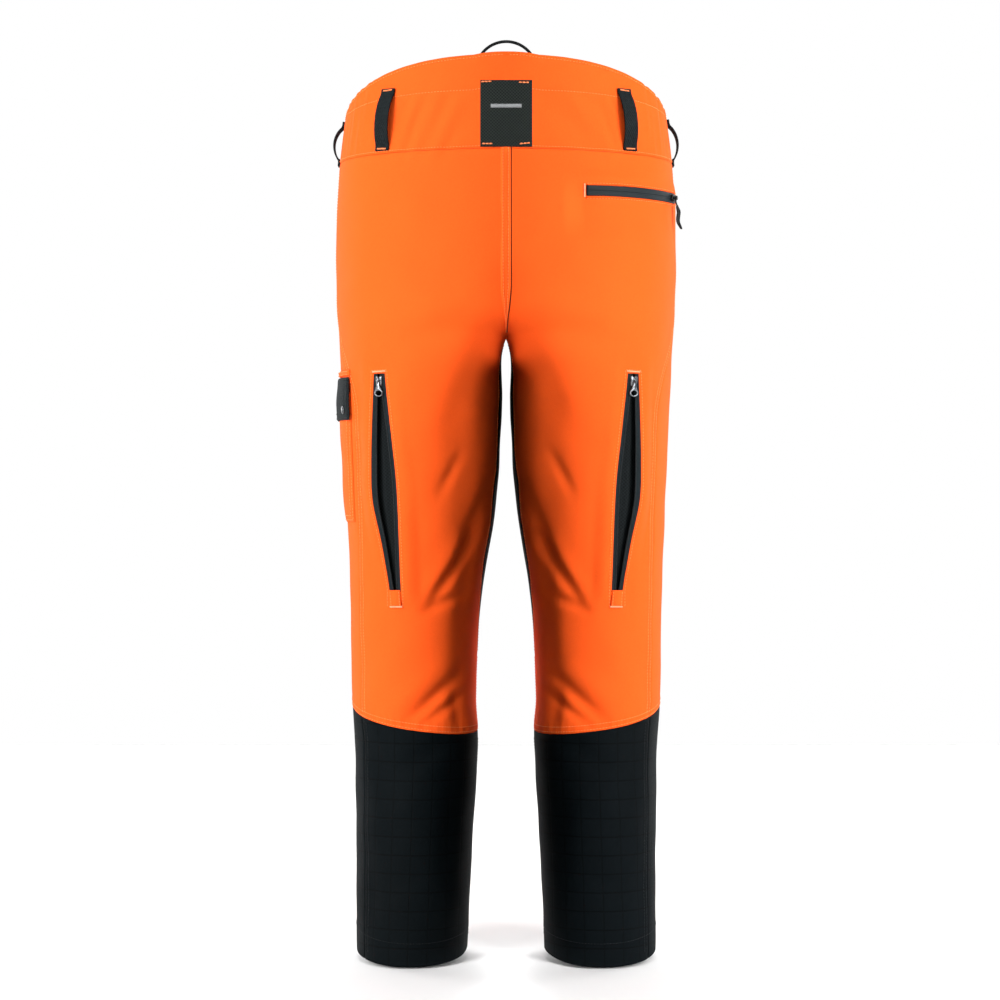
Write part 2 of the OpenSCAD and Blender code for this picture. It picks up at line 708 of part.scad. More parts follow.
module waist_stud() {
    color(silver) translate([stud_x, tab_y + 2.5, high(tab_z)]) rotate([-90, 0, 0]) {
        cylinder(r = 8, h = 1.2);
        translate([0, 0, 1.2 - eps]) cylinder(r = 6.4, h = 1.1);
    }
}

module stud_post() {
    color(silver) translate([stud_x, tab_y - 0.4, high(tab_z)]) rotate([90, 0, 0]) cylinder(r = 4, h = 1.6);
}

// ---- thigh pocket on the wearer's left ----

pocket_back_t = -31;
pocket_front_t = 44;
pocket_rows = [562, 590, 630, 670, 710, 726];
pocket_puff = 3;

module thigh_pocket() {
    cols = 10;
    // swell of the patch, low at its sewn edges
    puff = function(i, j)
        let (u = j / (cols - 1), z = pocket_rows[i])
        1.8 + pocket_puff * (1 - (2 * u - 1)^4) * smooth((z - 553) / 60) * smooth((770 - z) / 80);
    angle = function(j) pocket_back_t + (pocket_front_t - pocket_back_t) * j / (cols - 1);
    color(orange) sided("left")
        slab(len(pocket_rows), cols,
            function(i, j) skin(pocket_rows[i], angle(j), -puff(i, j)),
            function(i, j) skin(pocket_rows[i], angle(j), -0.5));
}

flap_top = 746;
flap_rows = [692, 705, 720, 735, flap_top];
flap_t = 2.4;

// Stiff flap over the pocket, standing clear of it all the way down.
module thigh_flap() {
    cols = 9;
    lift = function(i, j)
        let (u = j / (cols - 1), v = (flap_top - flap_rows[i]) / 54)
        2.4 + (pocket_puff + 0.6) * smooth(1.6 * v) * (1 - 0.5 * (2 * u - 1)^4);
    angle = function(j) pocket_back_t - 2 + (pocket_front_t + 3 - pocket_back_t) * j / (cols - 1);
    color(charcoal) sided("left")
        slab(len(flap_rows), cols,
            function(i, j) skin(flap_rows[i], angle(j), -lift(i, j) - flap_t),
            function(i, j) skin(flap_rows[i], angle(j), -lift(i, j)));
}

// Fastening strip sewn over the top edge of the flap.
module flap_binding() {
    rows = [flap_top + 1.5, flap_top + 9];
    cols = 9;
    angle = function(j) pocket_back_t - 2 + (pocket_front_t + 3 - pocket_back_t) * j / (cols - 1);
    color(charcoal) sided("left")
        slab(2, cols,
            function(i, j) skin(rows[i], angle(j), -3.4),
            function(i, j) skin(rows[i], angle(j), -0.6));
}

waistband_back();
waistband_front("left");  // waistband_front_left
waistband_front("right");  // waistband_front_right
waistband_facing();
back_panel("left");  // back_panel_left
back_panel("right");  // back_panel_right
front_panel("left");  // front_panel_left
front_panel("right");  // front_panel_right
lower_back_panel("left");  // lower_back_panel_left
lower_back_panel("right");  // lower_back_panel_right
lower_front_panel("left");  // lower_front_panel_left
lower_front_panel("right");  // lower_front_panel_right
inner_gusset("left");  // inner_gusset_left
inner_gusset("right");  // inner_gusset_right
hem_facings();
protection_pad("left");  // protection_pad_left
protection_pad("right");  // protection_pad_right
leg_lining("left");  // leg_lining_left
leg_lining("right");  // leg_lining_right
belt_loop("left", rear_loop_t, rear_loop);  // belt_loop_rear_left
belt_loop("right", rear_loop_t, rear_loop);  // belt_loop_rear_right
belt_loop("left", 0, side_loop_left);  // belt_loop_side_left
belt_loop("right", 0, side_loop_right);  // belt_loop_side_right
belt_loop("left", front_loop_t, front_loop);  // belt_loop_front_left
belt_loop("right", front_loop_t, front_loop);  // belt_loop_front_right
label_patch();
hanger_loop();
hanger_tab();
vent_tapes("left");  // vent_tapes_left
vent_tapes("right");  // vent_tapes_right
vent_mesh("left");  // vent_mesh_left
vent_mesh("right");  // vent_mesh_right
vent_plackets();
vent_slider("left");  // vent_slider_left
vent_slider("right");  // vent_slider_right
vent_pull("left");  // vent_pull_left
vent_pull("right");  // vent_pull_right
hip_zip_tape();
hip_slider();
hip_pull();
hip_pocket_bag();
front_zip_tape("left");  // front_zip_tape_left
front_zip_tape("right");  // front_zip_tape_right
front_zip_slider("left");  // front_zip_slider_left
front_zip_slider("right");  // front_zip_slider_right
front_zip_pull("left");  // front_zip_pull_left
front_zip_pull("right");  // front_zip_pull_right
front_pocket_bag("left");  // front_pocket_bag_left
front_pocket_bag("right");  // front_pocket_bag_right
fly_zip_tape();
fly_slider();
fly_pull();
fly_cover();
waist_tab();
waist_stud();
stud_post();
thigh_pocket();
thigh_flap();
flap_binding();
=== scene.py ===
import math

import bpy
import numpy as np
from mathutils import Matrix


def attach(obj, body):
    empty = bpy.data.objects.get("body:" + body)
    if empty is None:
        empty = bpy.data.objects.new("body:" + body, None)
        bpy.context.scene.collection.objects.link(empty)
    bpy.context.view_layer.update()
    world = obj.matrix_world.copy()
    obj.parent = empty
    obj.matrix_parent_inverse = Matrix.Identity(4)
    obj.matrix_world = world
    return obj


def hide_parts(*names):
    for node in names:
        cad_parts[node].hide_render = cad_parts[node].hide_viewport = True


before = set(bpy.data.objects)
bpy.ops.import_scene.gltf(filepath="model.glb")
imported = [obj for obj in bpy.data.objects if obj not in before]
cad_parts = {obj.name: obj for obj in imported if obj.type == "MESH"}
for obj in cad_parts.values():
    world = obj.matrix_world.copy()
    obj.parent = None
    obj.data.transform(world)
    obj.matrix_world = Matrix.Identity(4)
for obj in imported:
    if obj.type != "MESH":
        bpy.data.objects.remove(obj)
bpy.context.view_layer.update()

# Protective work trousers seen from behind: seat and thighs in a bright stretch fabric, black ripstop
# lower legs, thigh vents that stand open, a zipped hip pocket, belt loops, a label patch and a hanger.
# Lengths below are in millimetres and angles in degrees; meshes are scaled to metres as they are made.

MM = 0.001
rng = np.random.default_rng(11)

# ---------------------------------------------------------------- camera

CAMERA_X = -0.0078
CAMERA_BACK = 3.0
CAMERA_Z = 0.590
FRAME_WIDTH = 1.3  # of what the camera sees at the garment, in metres
SENSOR = 36.0
Y_MID = 16.1

camera_data = bpy.data.cameras.new("camera")
camera_data.sensor_width = SENSOR
camera_data.lens = SENSOR * CAMERA_BACK / FRAME_WIDTH
camera_data.clip_end = 100.0
camera = bpy.data.objects.new("camera", camera_data)
camera.location = (CAMERA_X, Y_MID * MM - CAMERA_BACK, CAMERA_Z)
camera.rotation_euler = (math.radians(90.0), 0.0, 0.0)
bpy.context.scene.collection.objects.link(camera)
bpy.context.scene.camera = camera

# ---------------------------------------------------------------- shape of the garment

WAIST_Z = 1030.0
WAIST_SAG = 5.0
KNEE_Z = 300.0
CROTCH_Z = 798.0
HEM_DROP = 24.0
SIDE_TOP_Z = 1084.0
FRONT_TOP_Z = 1076.0
BACK_TOP_Z = 1150.0
CREST = 3.0
GUSSET_LOW = 390.0
SHELL_T = 2.2

# Height, half width, leg axis from the middle, depth behind and before it, its shift, squareness.
STATIONS = np.array([
    [-30, 194.0, 122.5, 84, 80, -4, 2.1],
    [60, 194.0, 121.0, 84, 80, -5, 2.1],
    [200, 194.5, 117.5, 86, 81, -4, 2.1],
    [285, 196.5, 116.5, 84, 84, 0, 2.1],
    [335, 200.0, 119.5, 84, 86, 2, 2.1],
    [460, 202.0, 117.0, 92, 92, 0, 2.1],
    [590, 206.5, 109.5, 103, 98, -4, 2.1],
    [720, 211.5, 108.0, 116, 104, -10, 2.15],
    [798, 215.2, 107.9, 126, 109, -14, 2.2],
    [830, 217.5, 88.0, 132, 112, -13, 2.3],
    [900, 219.5, 38.0, 140, 115, -7, 2.4],
    [960, 218.5, 8.0, 136, 112, -3, 2.4],
    [1030, 214.5, 0.0, 118, 107, 0, 2.4],
    [1150, 199.0, 0.0, 106, 96, 0, 2.35],
])


def smooth(x):
    s = np.clip(x, 0.0, 1.0)
    return s * s * (3.0 - 2.0 * s)


def unit(v):
    v = np.asarray(v, float)
    return v / np.maximum(np.linalg.norm(v, axis=-1, keepdims=True), 1e-9)


def bent(x, e):
    return np.sign(x) * np.abs(x) ** e


def at_height(z, col):
    """Catmull-Rom curve through the stations."""
    z = np.asarray(z, float)
    i = np.clip(np.searchsorted(STATIONS[1:-1, 0], z, side="right"), 0, len(STATIONS) - 2)
    z0 = STATIONS[i, 0]
    h = STATIONS[i + 1, 0] - z0
    s = np.clip((z - z0) / h, 0.0, 1.0)

    def slope(k):
        a = np.maximum(0, k - 1)
        b = np.minimum(len(STATIONS) - 1, k + 1)
        return (STATIONS[b, col] - STATIONS[a, col]) / (STATIONS[b, 0] - STATIONS[a, 0])

    return ((2 * s**3 - 3 * s**2 + 1) * STATIONS[i, col] + (s**3 - 2 * s**2 + s) * slope(i) * h
            + (3 * s**2 - 2 * s**3) * STATIONS[i + 1, col] + (s**3 - s**2) * slope(i + 1) * h)


def axis_x(z):
    return np.maximum(0.0, at_height(z, 2))


def skin(z, t, inset=0.0):
    """Point of the wearer's right half: t is 0 at the side, -90 at the back, +90 at the front."""
    z, t = np.broadcast_arrays(np.asarray(z, float), np.asarray(t, float))
    axis = axis_x(z)
    half = at_height(z, 1) - axis - inset
    e = 2.0 / at_height(z, 6)
    depth = np.where(t < 0, at_height(z, 3), at_height(z, 4)) - inset
    a = np.radians(t)
    return np.stack([axis + half * bent(np.cos(a), e),
                     Y_MID + at_height(z, 5) + depth * bent(np.sin(a), e), z], -1)


def skin_normal(z, t):
    z, t = np.broadcast_arrays(np.asarray(z, float), np.asarray(t, float))
    along = skin(z, t + 0.6) - skin(z, t - 0.6)
    up = skin(z + 1.5, t) - skin(z - 1.5, t)
    return unit(np.cross(along, up))


def middle_angle(z):
    r = axis_x(z) / (at_height(z, 1) - axis_x(z))
    a = np.degrees(np.arccos(-np.clip(r, 0.0, 1.0) ** (at_height(z, 6) / 2.0)))
    return np.where(r >= 1.0, 180.0, a)


def angle_at(z, x):
    q = np.clip((x - axis_x(z)) / (at_height(z, 1) - axis_x(z)), -1.0, 1.0)
    return np.degrees(np.arccos(bent(q, at_height(z, 6) / 2.0)))


def side_angle(z):
    return -36.0 * (1.0 - smooth((np.asarray(z, float) - 700.0) / 170.0))


def knee_seam(t):
    t = np.asarray(t, float)
    behind = 291 + 35 * (np.maximum(t + 150, 0) / 150) ** 1.7
    return np.where(t < 0, behind, 326 - 35 * t / 180 + 75 * np.sin(np.radians(t)))


def waist_seam(t):
    return WAIST_Z - WAIST_SAG * np.cos(np.radians(t))


def row(z, t):
    """Height of a pattern row: it follows the knee seam, the sloping hem and the sagging waist."""
    z, t = np.broadcast_arrays(np.asarray(z, float), np.asarray(t, float))
    share = np.where(z < KNEE_Z, np.maximum(0, z / KNEE_Z), np.maximum(0, 1 - (z - KNEE_Z) / 300))
    lift = HEM_DROP / 2 * (1 + np.sin(np.radians(t))) * np.maximum(0, 1 - z / KNEE_Z)
    sag = WAIST_SAG * np.cos(np.radians(t)) * np.maximum(0, (z - 900) / (WAIST_Z - 900))
    return z + (knee_seam(t) - KNEE_Z) * share + lift - sag


def band_top(t):
    t = np.asarray(t, float)
    s = np.sin(np.radians(t))
    back = SIDE_TOP_Z - (BACK_TOP_Z - SIDE_TOP_Z) * s + CREST * np.maximum(0, 1 - ((90 + t) / 9) ** 2)
    return np.where(t < 0, back, SIDE_TOP_Z - (SIDE_TOP_Z - FRONT_TOP_Z) * s)


def gusset_half(z):
    z = np.asarray(z, float)
    leaf = 0.8 + 15 * smooth((z - GUSSET_LOW) / 150) * smooth((CROTCH_Z - z) / 60)
    return np.where((z <= GUSSET_LOW - 10) | (z > CROTCH_Z), 0.0, leaf)


def inner_angle(z):
    z = np.asarray(z, float)
    return np.where(z > CROTCH_Z, middle_angle(z), 180.0 - gusset_half(z))


# ---------------------------------------------------------------- frames of the zips

class Frame:
    """X across, Y up the zip and Z away from the garment, at a point of the right half."""

    def __init__(self, top, bottom, facing):
        self.origin = np.asarray(top, float)
        self.up = unit(self.origin - bottom)
        self.across = unit(np.cross(self.up, facing))
        self.out = np.cross(self.across, self.up)
        self.length = float(np.linalg.norm(self.origin - bottom))

    def point(self, x, y, z):
        x, y, z = (np.asarray(v, float)[..., None] for v in (x, y, z))
        return self.origin + x * self.across + y * self.up + z * self.out

    def local(self, p):
        d = np.asarray(p, float) - self.origin
        return d @ self.across, d @ self.up, d @ self.out


VENT_FACING = np.array([0.42, -0.9, 0.0])
VENT_OUT = unit(VENT_FACING)
VENT_TOP = skin(747, -62) - 2.5 * VENT_OUT
VENT_BOTTOM = skin(475, -75) - 0.8 * VENT_OUT
vent = Frame(VENT_TOP, VENT_BOTTOM, VENT_FACING)
VENT_OUTER = np.array([[0, 7.2], [34, 10.8], [80, 15.6], [148, 21], [172, 19.8], [206, 14.4], [272, 8.2]])
VENT_INNER = np.array([[0, -7.6], [80, -11.7], [129, -14.2], [172, -13.2], [220, -10.8], [272, -8.1]])
TAPE_T = 1.4

# Hip pocket zip on the wearer's right: an arc of a level circle round HIP_AXIS.
HIP_Z = 976.0
HIP_AXIS = np.array([88.0, Y_MID + 15.5])
HIP_R = 139.5
HIP_TAPE_R = HIP_R - 0.4
HIP_FROM, HIP_TO = -85.0, -24.0

# Front pocket zips: an arc that bulges a little out of a flat frame down the front of each hip.
FRONT_ZIP_L = 150.0
FRONT_BULGE = 4.4
FRONT_R = (FRONT_ZIP_L**2 / 4 + FRONT_BULGE**2) / (2 * FRONT_BULGE)
FRONT_HALF = math.degrees(math.asin(FRONT_ZIP_L / 2 / FRONT_R))
FRONT_TAPE_Z = -0.8
front_zip = Frame(skin(1012, 46), skin(1012 - FRONT_ZIP_L, 38), np.array([0.62, 0.78, 0]))


def vent_edge(edge, s):
    """Softly rounded edge of the open vent, at a distance down the zip."""
    window = np.linspace(-16, 16, 9)
    return np.mean([np.interp(np.asarray(s, float) + w, edge[:, 0], edge[:, 1]) for w in window], axis=0)


VENT_S = np.linspace(0, vent.length, 90)
vent_lines = {}
for label, edge in (("outer", VENT_OUTER), ("inner", VENT_INNER)):
    p = vent.point(vent_edge(edge, VENT_S), -VENT_S, np.zeros_like(VENT_S))
    vent_lines[label] = (p[::-1, 2], -angle_at(p[::-1, 2], p[::-1, 0]))
VENT_Z = (float(VENT_BOTTOM[2]), float(VENT_TOP[2]))


def vent_angle(label, z):
    heights, angles = vent_lines[label]
    return np.interp(z, heights, angles)


# ---------------------------------------------------------------- folds

# Soft folds of the back of a leg: two ends (distance from the middle, height), half width, height
# of the fold, and how much one flank is steeper than the other.
BACK_FOLDS = [
    ((56, 690), (48, 560), 22, -3.2, 0.0),
    ((44, 540), (56, 350), 15, -4.5, 0.0),
    ((30, 780), (74, 690), 16, -1.6, 0.0),
    ((20, 606), (52, 530), 10, -3.0, 0.2),
    ((40, 540), (90, 468), 9, -5.5, 0.5),
    ((62, 532), (104, 460), 12, 2.6, 0.0),
    ((60, 640), (80, 604), 8, -2.6, 0.3),
    ((56, 470), (98, 452), 8, -3.6, 0.4),
    ((64, 364), (118, 316), 9, -4.6, 0.4),
    ((56, 340), (104, 306), 7, -3.4, 0.3),
    ((86, 372), (140, 330), 13, 2.4, 0.0),
    ((64, 340), (60, 300), 8, -3.0, 0.0),
    ((150, 420), (180, 360), 14, -1.6, 0.0),
    ((120, 640), (100, 560), 26, 2.2, 0.0),
    ((40, 820), (128, 786), 20, -3.0, 0.0),
    ((168, 560), (150, 470), 16, -1.6, 0.0),
]
FRONT_FOLDS = [
    ((24, 806), (120, 772), 11, -5.0, 0.4),
    ((30, 784), (112, 726), 10, -4.4, 0.4),
    ((40, 764), (96, 690), 9, -3.4, 0.3),
    ((62, 452), (150, 424), 10, -3.8, 0.3),
    ((70, 486), (138, 470), 12, 3.0, 0.0),
    ((58, 520), (128, 508), 11, -2.8, 0.2),
    ((52, 640), (74, 520), 18, -3.6, 0.0),
    ((120, 690), (96, 590), 22, 2.8, 0.0),
    ((30, 880), (130, 846), 14, -2.6, 0.2),
    ((150, 300), (120, 220), 16, -2.0, 0.0),
]
LOWER_FOLDS = [
    ((60, 292), (130, 250), 16, -2.6, 0.2),
    ((165, 270), (140, 190), 14, -2.4, 0.0),
    ((66, 240), (72, 120), 15, -2.2, 0.0),
    ((110, 210), (160, 180), 15, 1.6, 0.0),
    ((90, 120), (150, 100), 16, -1.6, 0.0),
    ((170, 130), (166, 40), 12, -1.6, 0.0),
]


def fold_field(folds, x, z):
    total = np.zeros_like(x)
    for (x0, z0), (x1, z1), width, height, skew in folds:
        ax, az = x1 - x0, z1 - z0
        length = math.hypot(ax, az)
        s = ((x - x0) * ax + (z - z0) * az) / length**2
        d = ((x - x0) * az - (z - z0) * ax) / length / width
        d = d + skew * d * np.abs(d) * 0.35
        end = np.maximum(np.maximum(-s, s - 1.0), 0.0) * length / (1.6 * width)
        taper = np.exp(-end**2) * (0.55 + 0.45 * np.sin(np.pi * np.clip(s, 0, 1)))
        total += height * taper * np.exp(-d**2)
    return total


# Slow random undulation of the cloth: sums of a few plane waves with fixed random phases.
WAVES = [(rng.uniform(-1, 1, 3), rng.uniform(0, 2 * math.pi), rng.uniform(38, 120)) for _ in range(14)]


def undulation(p, sign):
    total = np.zeros(p.shape[:-1])
    for direction, phase, length in WAVES:
        d = unit(direction) * np.array([sign, 1.0, 1.0])
        total += np.sin(2 * math.pi * (p @ d) / length + phase)
    return total / len(WAVES)


def gathers(z, t, sign):
    """Crimp of the elastic waistband, strongest between the label and the side loops."""
    arc = t * 3.1
    a = np.sin(arc / 2.5 + 1.3 * np.sin(z / 31.0 + sign) + 0.9 * sign)
    b = np.sin(arc / 1.63 + 0.8 * np.sin(z / 22.0 - sign) + 2.1)
    c = np.sin(arc / 4.4 + 0.03 * (z - 1080) + 0.4 * sign)
    sides = smooth((t + 44) / 16) * smooth((14 - t) / 22)
    back = smooth((t + 83) / 8) * smooth((-30 - t) / 14)
    slanted = np.sin((arc + 0.5 * (z - 1060)) / 5.6 + 1.9 * np.sin(arc / 19.0 + 2 * sign))
    slanted = slanted * (0.35 + 0.65 * np.sin(arc / 14.0 + sign) ** 2) * smooth((-50 - t) / 8)
    slanting = 1.5 * slanted * smooth((1112 - z) / 30)
    return sides * (0.3 * a + 0.16 * b + 0.3 * c) + back * (slanting + 0.06 * c)


def relief(p, z, t, sign):
    """How far the cloth stands out from the plain body shape."""
    x = np.abs(p[..., 0])
    s = np.sin(np.radians(t))
    behind = smooth((-s + 0.15) / 0.45)
    before = smooth((s + 0.15) / 0.45)
    legs = smooth((1010 - z) / 60)
    upper = smooth((z - knee_seam(t) + 2) / 10)
    h = behind * upper * fold_field(BACK_FOLDS, x, z) + before * upper * fold_field(FRONT_FOLDS, x, z)
    h += (1 - upper) * fold_field(LOWER_FOLDS, x, z)
    h = h + 1.5 * undulation(p, sign) * legs
    near_top = smooth((z - WAIST_Z + 30) / 40)
    h = h + 0.9 * gathers(z, t, sign) * near_top
    # The cloth round an open vent lies on the flat zip tapes.
    u, v, w = vent.local(p)
    along = np.clip(-v, 0, vent.length)
    outside = np.maximum(u - vent_edge(VENT_OUTER, along), vent_edge(VENT_INNER, along) - u)
    past = np.maximum(v, -v - vent.length)
    near = smooth(1.0 - np.maximum(outside, 0) / 24) * smooth(1.0 - np.maximum(past, 0) / 30)
    near = near * (s < 0.2) * (w > -40)
    h = h * (1 - near) + near * (1.0 - w)
    # The cloth beside a front pocket zip is level with its tape, and cut away behind it.
    u, v, w = front_zip.local(p)
    from_middle = np.clip(v + FRONT_ZIP_L / 2, -FRONT_ZIP_L / 2, FRONT_ZIP_L / 2)
    tape = FRONT_BULGE - FRONT_R + np.sqrt(FRONT_R**2 - from_middle**2) + FRONT_TAPE_Z
    past = np.maximum(v, -v - FRONT_ZIP_L)
    off_side = smooth(1.0 - np.maximum(np.abs(u) - 8.0, 0) / 20)
    off_end = smooth(1.0 - np.maximum(past, 0) / 26)
    near = off_side * off_end * (s > 0) * (w > -30)
    sunk = 2.0 * smooth((7.6 - np.abs(u)) / 1.6) * smooth((2.0 - past) / 2.0)
    h = h * (1 - near) + near * (tape - sunk - w)
    if sign < 0:
        return h
    # The cloth round the hip pocket zip lies just below the flat of its tape.
    east, north = p[..., 0] - HIP_AXIS[0], p[..., 1] - HIP_AXIS[1]
    radius = np.hypot(east, north)
    turn = np.degrees(np.arctan2(north, east))
    beside = np.maximum(np.abs(z - HIP_Z) - 7.0, 0)
    beyond = np.maximum(np.maximum(HIP_FROM - turn, turn - HIP_TO), 0) * HIP_R * math.pi / 180
    near = smooth(1.0 - beside / np.where(z < HIP_Z, 60.0, 24.0)) * smooth(1.0 - beyond / 30)
    sunk = 0.9 * smooth((8.0 - np.abs(z - HIP_Z)) / 1.6) * smooth(1.0 - beyond / 3.0)
    return h * (1 - near) + near * (HIP_R - 0.6 - sunk - radius)


def cloth(z, t, sign, lift=0.0):
    """Point and normal of the finished cloth, on the right half; sign tells which side's folds it has."""
    z, t = np.broadcast_arrays(np.asarray(z, float), np.asarray(t, float))
    p = skin(z, t)
    n = skin_normal(z, t)
    return p + n * (relief(p, z, t, sign) + lift)[..., None], n


# ---------------------------------------------------------------- mesh helpers

def new_object(name, points, faces, materials, uv=None, slots=None, flat=False):
    """Object from points in millimetres, with a UV map in metres of cloth where it is given."""
    mesh = bpy.data.meshes.new(name)
    mesh.from_pydata((np.asarray(points, float) * MM).tolist(), [], [list(map(int, f)) for f in faces])
    for m in materials:
        mesh.materials.append(m)
    if slots is not None:
        mesh.polygons.foreach_set("material_index", np.asarray(slots, np.int32))
    if uv is not None:
        corner = np.empty(len(mesh.loops), np.int32)
        mesh.loops.foreach_get("vertex_index", corner)
        layer = mesh.uv_layers.new(name="cloth")
        layer.data.foreach_set("uv", (np.asarray(uv, float)[corner] * MM).ravel())
    mesh.update()
    obj = bpy.data.objects.new(name, mesh)
    bpy.context.scene.collection.objects.link(obj)
    if not flat:
        mesh.polygons.foreach_set("use_smooth", np.ones(len(mesh.polygons), bool))
    return obj


def place(obj, body, slot, *nodes):
    """Puts a piece on its body and hides the nodes that it stands for; the slot argument is not used."""
    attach(obj, body)
    if nodes:
        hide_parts(*nodes)
    return obj


def grid_quads(rows, cols, keep=None, flip=False, wrap=False):
    """Quads of a grid of points, as an array of corner indices."""
    last = cols if wrap else cols - 1
    i, j = np.meshgrid(np.arange(rows - 1), np.arange(last), indexing="ij")
    if keep is not None:
        i, j = i[keep], j[keep]
    i, j = i.ravel(), j.ravel()
    k = (j + 1) % cols
    quads = np.stack([i * cols + j, i * cols + k, (i + 1) * cols + k, (i + 1) * cols + j], -1)
    return quads[:, ::-1] if flip else quads


def thick(outer, inner, quads):
    """Closed shell: outer faces, the same faces turned round on the inner points, and the rims."""
    n = len(outer)
    edges = {}
    for q in quads.tolist():
        for a, b in zip(q, q[1:] + q[:1]):
            if (b, a) in edges:
                del edges[(b, a)]
            else:
                edges[(a, b)] = True
    rim = [(b, a, a + n, b + n) for a, b in edges]
    points = np.concatenate([outer, inner])
    faces = quads.tolist() + (quads[:, ::-1] + n).tolist() + rim
    used = np.unique(np.array([k for f in faces for k in f]))
    new = np.full(len(points), -1)
    new[used] = np.arange(len(used))
    faces = [tuple(int(new[k]) for k in f) for f in faces]
    slots = [0] * len(quads) + [1] * len(quads) + [0] * len(rim)
    return points[used], faces, slots, used


def layer(outer, inner, across, along, sign=1, flip=False):
    """Points, faces and cloth coordinates of a thin layer between two grids of points; sign -1 turns
    it over to the left."""
    quads = grid_quads(*outer.shape[:2], flip=flip)
    points, faces, _, used = thick(outer.reshape(-1, 3), inner.reshape(-1, 3), quads)
    uv = np.stack(np.broadcast_arrays(across, along), -1).reshape(-1, 2)
    if sign < 0:
        points = points * np.array([-1.0, 1.0, 1.0])
        faces = [f[::-1] for f in faces]
    return points, faces, np.concatenate([uv, uv])[used]


def from_edge(z, x, scale=1.0):
    """Distance of each point of a grid from the nearest edge of the grid."""
    return np.minimum(np.minimum(z - z.min(), z.max() - z), np.minimum(x - x.min(), x.max() - x) * scale)


class Soup:
    """Small separate solids gathered into one piece; they are drawn for the right half, and sign -1
    turns them over to the left."""

    def __init__(self, sign=1):
        self.points, self.faces, self.uv, self.count = [], [], [], 0
        self.sign = sign

    def add(self, points, faces, uv=None):
        points = np.asarray(points, float).reshape(-1, 3) * np.array([self.sign, 1.0, 1.0])
        self.points.append(points)
        self.uv.append(np.zeros((len(points), 2)) if uv is None else np.asarray(uv, float))
        turn = -1 if self.sign < 0 else 1
        for f in faces:
            f = tuple(dict.fromkeys(int(k) + self.count for k in f))
            self.faces.append(f[::turn])
        self.count += len(points)

    def copies(self, shape, origin, x, y, z):
        """Copies of a small shape in frames given by origins and axes."""
        points, faces = shape
        origin = np.asarray(origin, float)
        placed = (origin[:, None, :] + points[None, :, 0:1] * np.asarray(x)[:, None, :]
                  + points[None, :, 1:2] * np.asarray(y)[:, None, :]
                  + points[None, :, 2:3] * np.asarray(z)[:, None, :])
        faces = np.asarray(faces)
        shift = (np.arange(len(origin)) * len(points))[:, None, None] + faces[None]
        self.add(placed.reshape(-1, 3), shift.reshape(-1, faces.shape[1]))

    def build(self, name, materials, flat=False):
        return new_object(name, np.concatenate(self.points), self.faces, materials,
                          np.concatenate(self.uv), flat=flat)


def resample(points, extra, pitch):
    """Even steps along a polyline, carrying other vectors with it."""
    points = np.asarray(points, float)
    seg = np.linalg.norm(np.diff(points, axis=0), axis=1)
    at = np.concatenate([[0], np.cumsum(seg)])
    count = max(1, int(round(at[-1] / pitch)))
    mid = (np.arange(count) + 0.5) * at[-1] / count
    pick = lambda a, s: np.stack([np.interp(s, at, a[:, k]) for k in range(a.shape[1])], -1)
    return pick(points, mid), unit(pick(points, mid + 0.4) - pick(points, mid - 0.4)), [
        pick(np.asarray(e, float), mid) for e in extra], at[-1] / count


def spindle(length, width, height, sides=6):
    """Small rounded thread: a closed tube along Y that is pressed a little into the cloth at its ends."""
    stations = [(-0.5, 0.35, -0.55), (-0.36, 0.85, -0.1), (0.0, 1.0, 0.12), (0.36, 0.85, -0.1),
                (0.5, 0.35, -0.55)]
    points = []
    for y, r, drop in stations:
        for k in range(sides):
            a = 2 * math.pi * k / sides
            points.append((r * width / 2 * math.cos(a), y * length,
                           r * height / 2 * math.sin(a) + drop * height / 2))
    faces = []
    for i in range(len(stations) - 1):
        for k in range(sides):
            n = (k + 1) % sides
            faces.append((i * sides + k, i * sides + n, (i + 1) * sides + n, (i + 1) * sides + k))
    low = len(points)
    points.append((0, -0.5 * length, -0.3 * height))
    points.append((0, 0.5 * length, -0.3 * height))
    top = (len(stations) - 1) * sides
    for k in range(sides):
        n = (k + 1) % sides
        faces.append((low, n, k, k))
        faces.append((low + 1, top + k, top + n, top + n))
    return np.array(points), faces


STITCH_PITCH = 4.0
STITCH = spindle(2.7, 0.85, 0.7)


def stitch_line(soup, points, normals, pitch=STITCH_PITCH, shape=STITCH):
    """A row of stitches along a path on the cloth."""
    if len(points) < 2:
        return
    at, along, (n,), _ = resample(points, [normals], pitch)
    n = unit(n - along * np.sum(n * along, -1, keepdims=True))
    soup.copies(shape, at, np.cross(along, n), along, n)


def stitch_on_cloth(soup, z, t, sign, lift=0.25, **kw):
    """Stitches through points of the cloth given by heights and angles."""
    p, n = cloth(np.asarray(z, float), np.asarray(t, float), sign, lift)
    stitch_line(soup, p, n, **kw)


def offset_path(z, t, distance):
    """Moves a path sideways on the skin by a distance in mm, towards its left as it runs."""
    p = skin(z, t)
    n = skin_normal(z, t)
    along = unit(np.gradient(p, axis=0))
    side = np.cross(n, along)
    step_t = skin(z, np.asarray(t) + 0.5) - p
    step_z = skin(np.asarray(z) + 0.5, t) - p
    a = np.stack([step_t, step_z], -1)
    gram = np.einsum("nij,nik->njk", a, a)
    rhs = np.einsum("nij,ni->nj", a, side * distance)
    move = np.linalg.solve(gram + 1e-9 * np.eye(2), rhs[..., None])[..., 0]
    return np.asarray(z) + move[:, 1] * 0.5, np.asarray(t) + move[:, 0] * 0.5


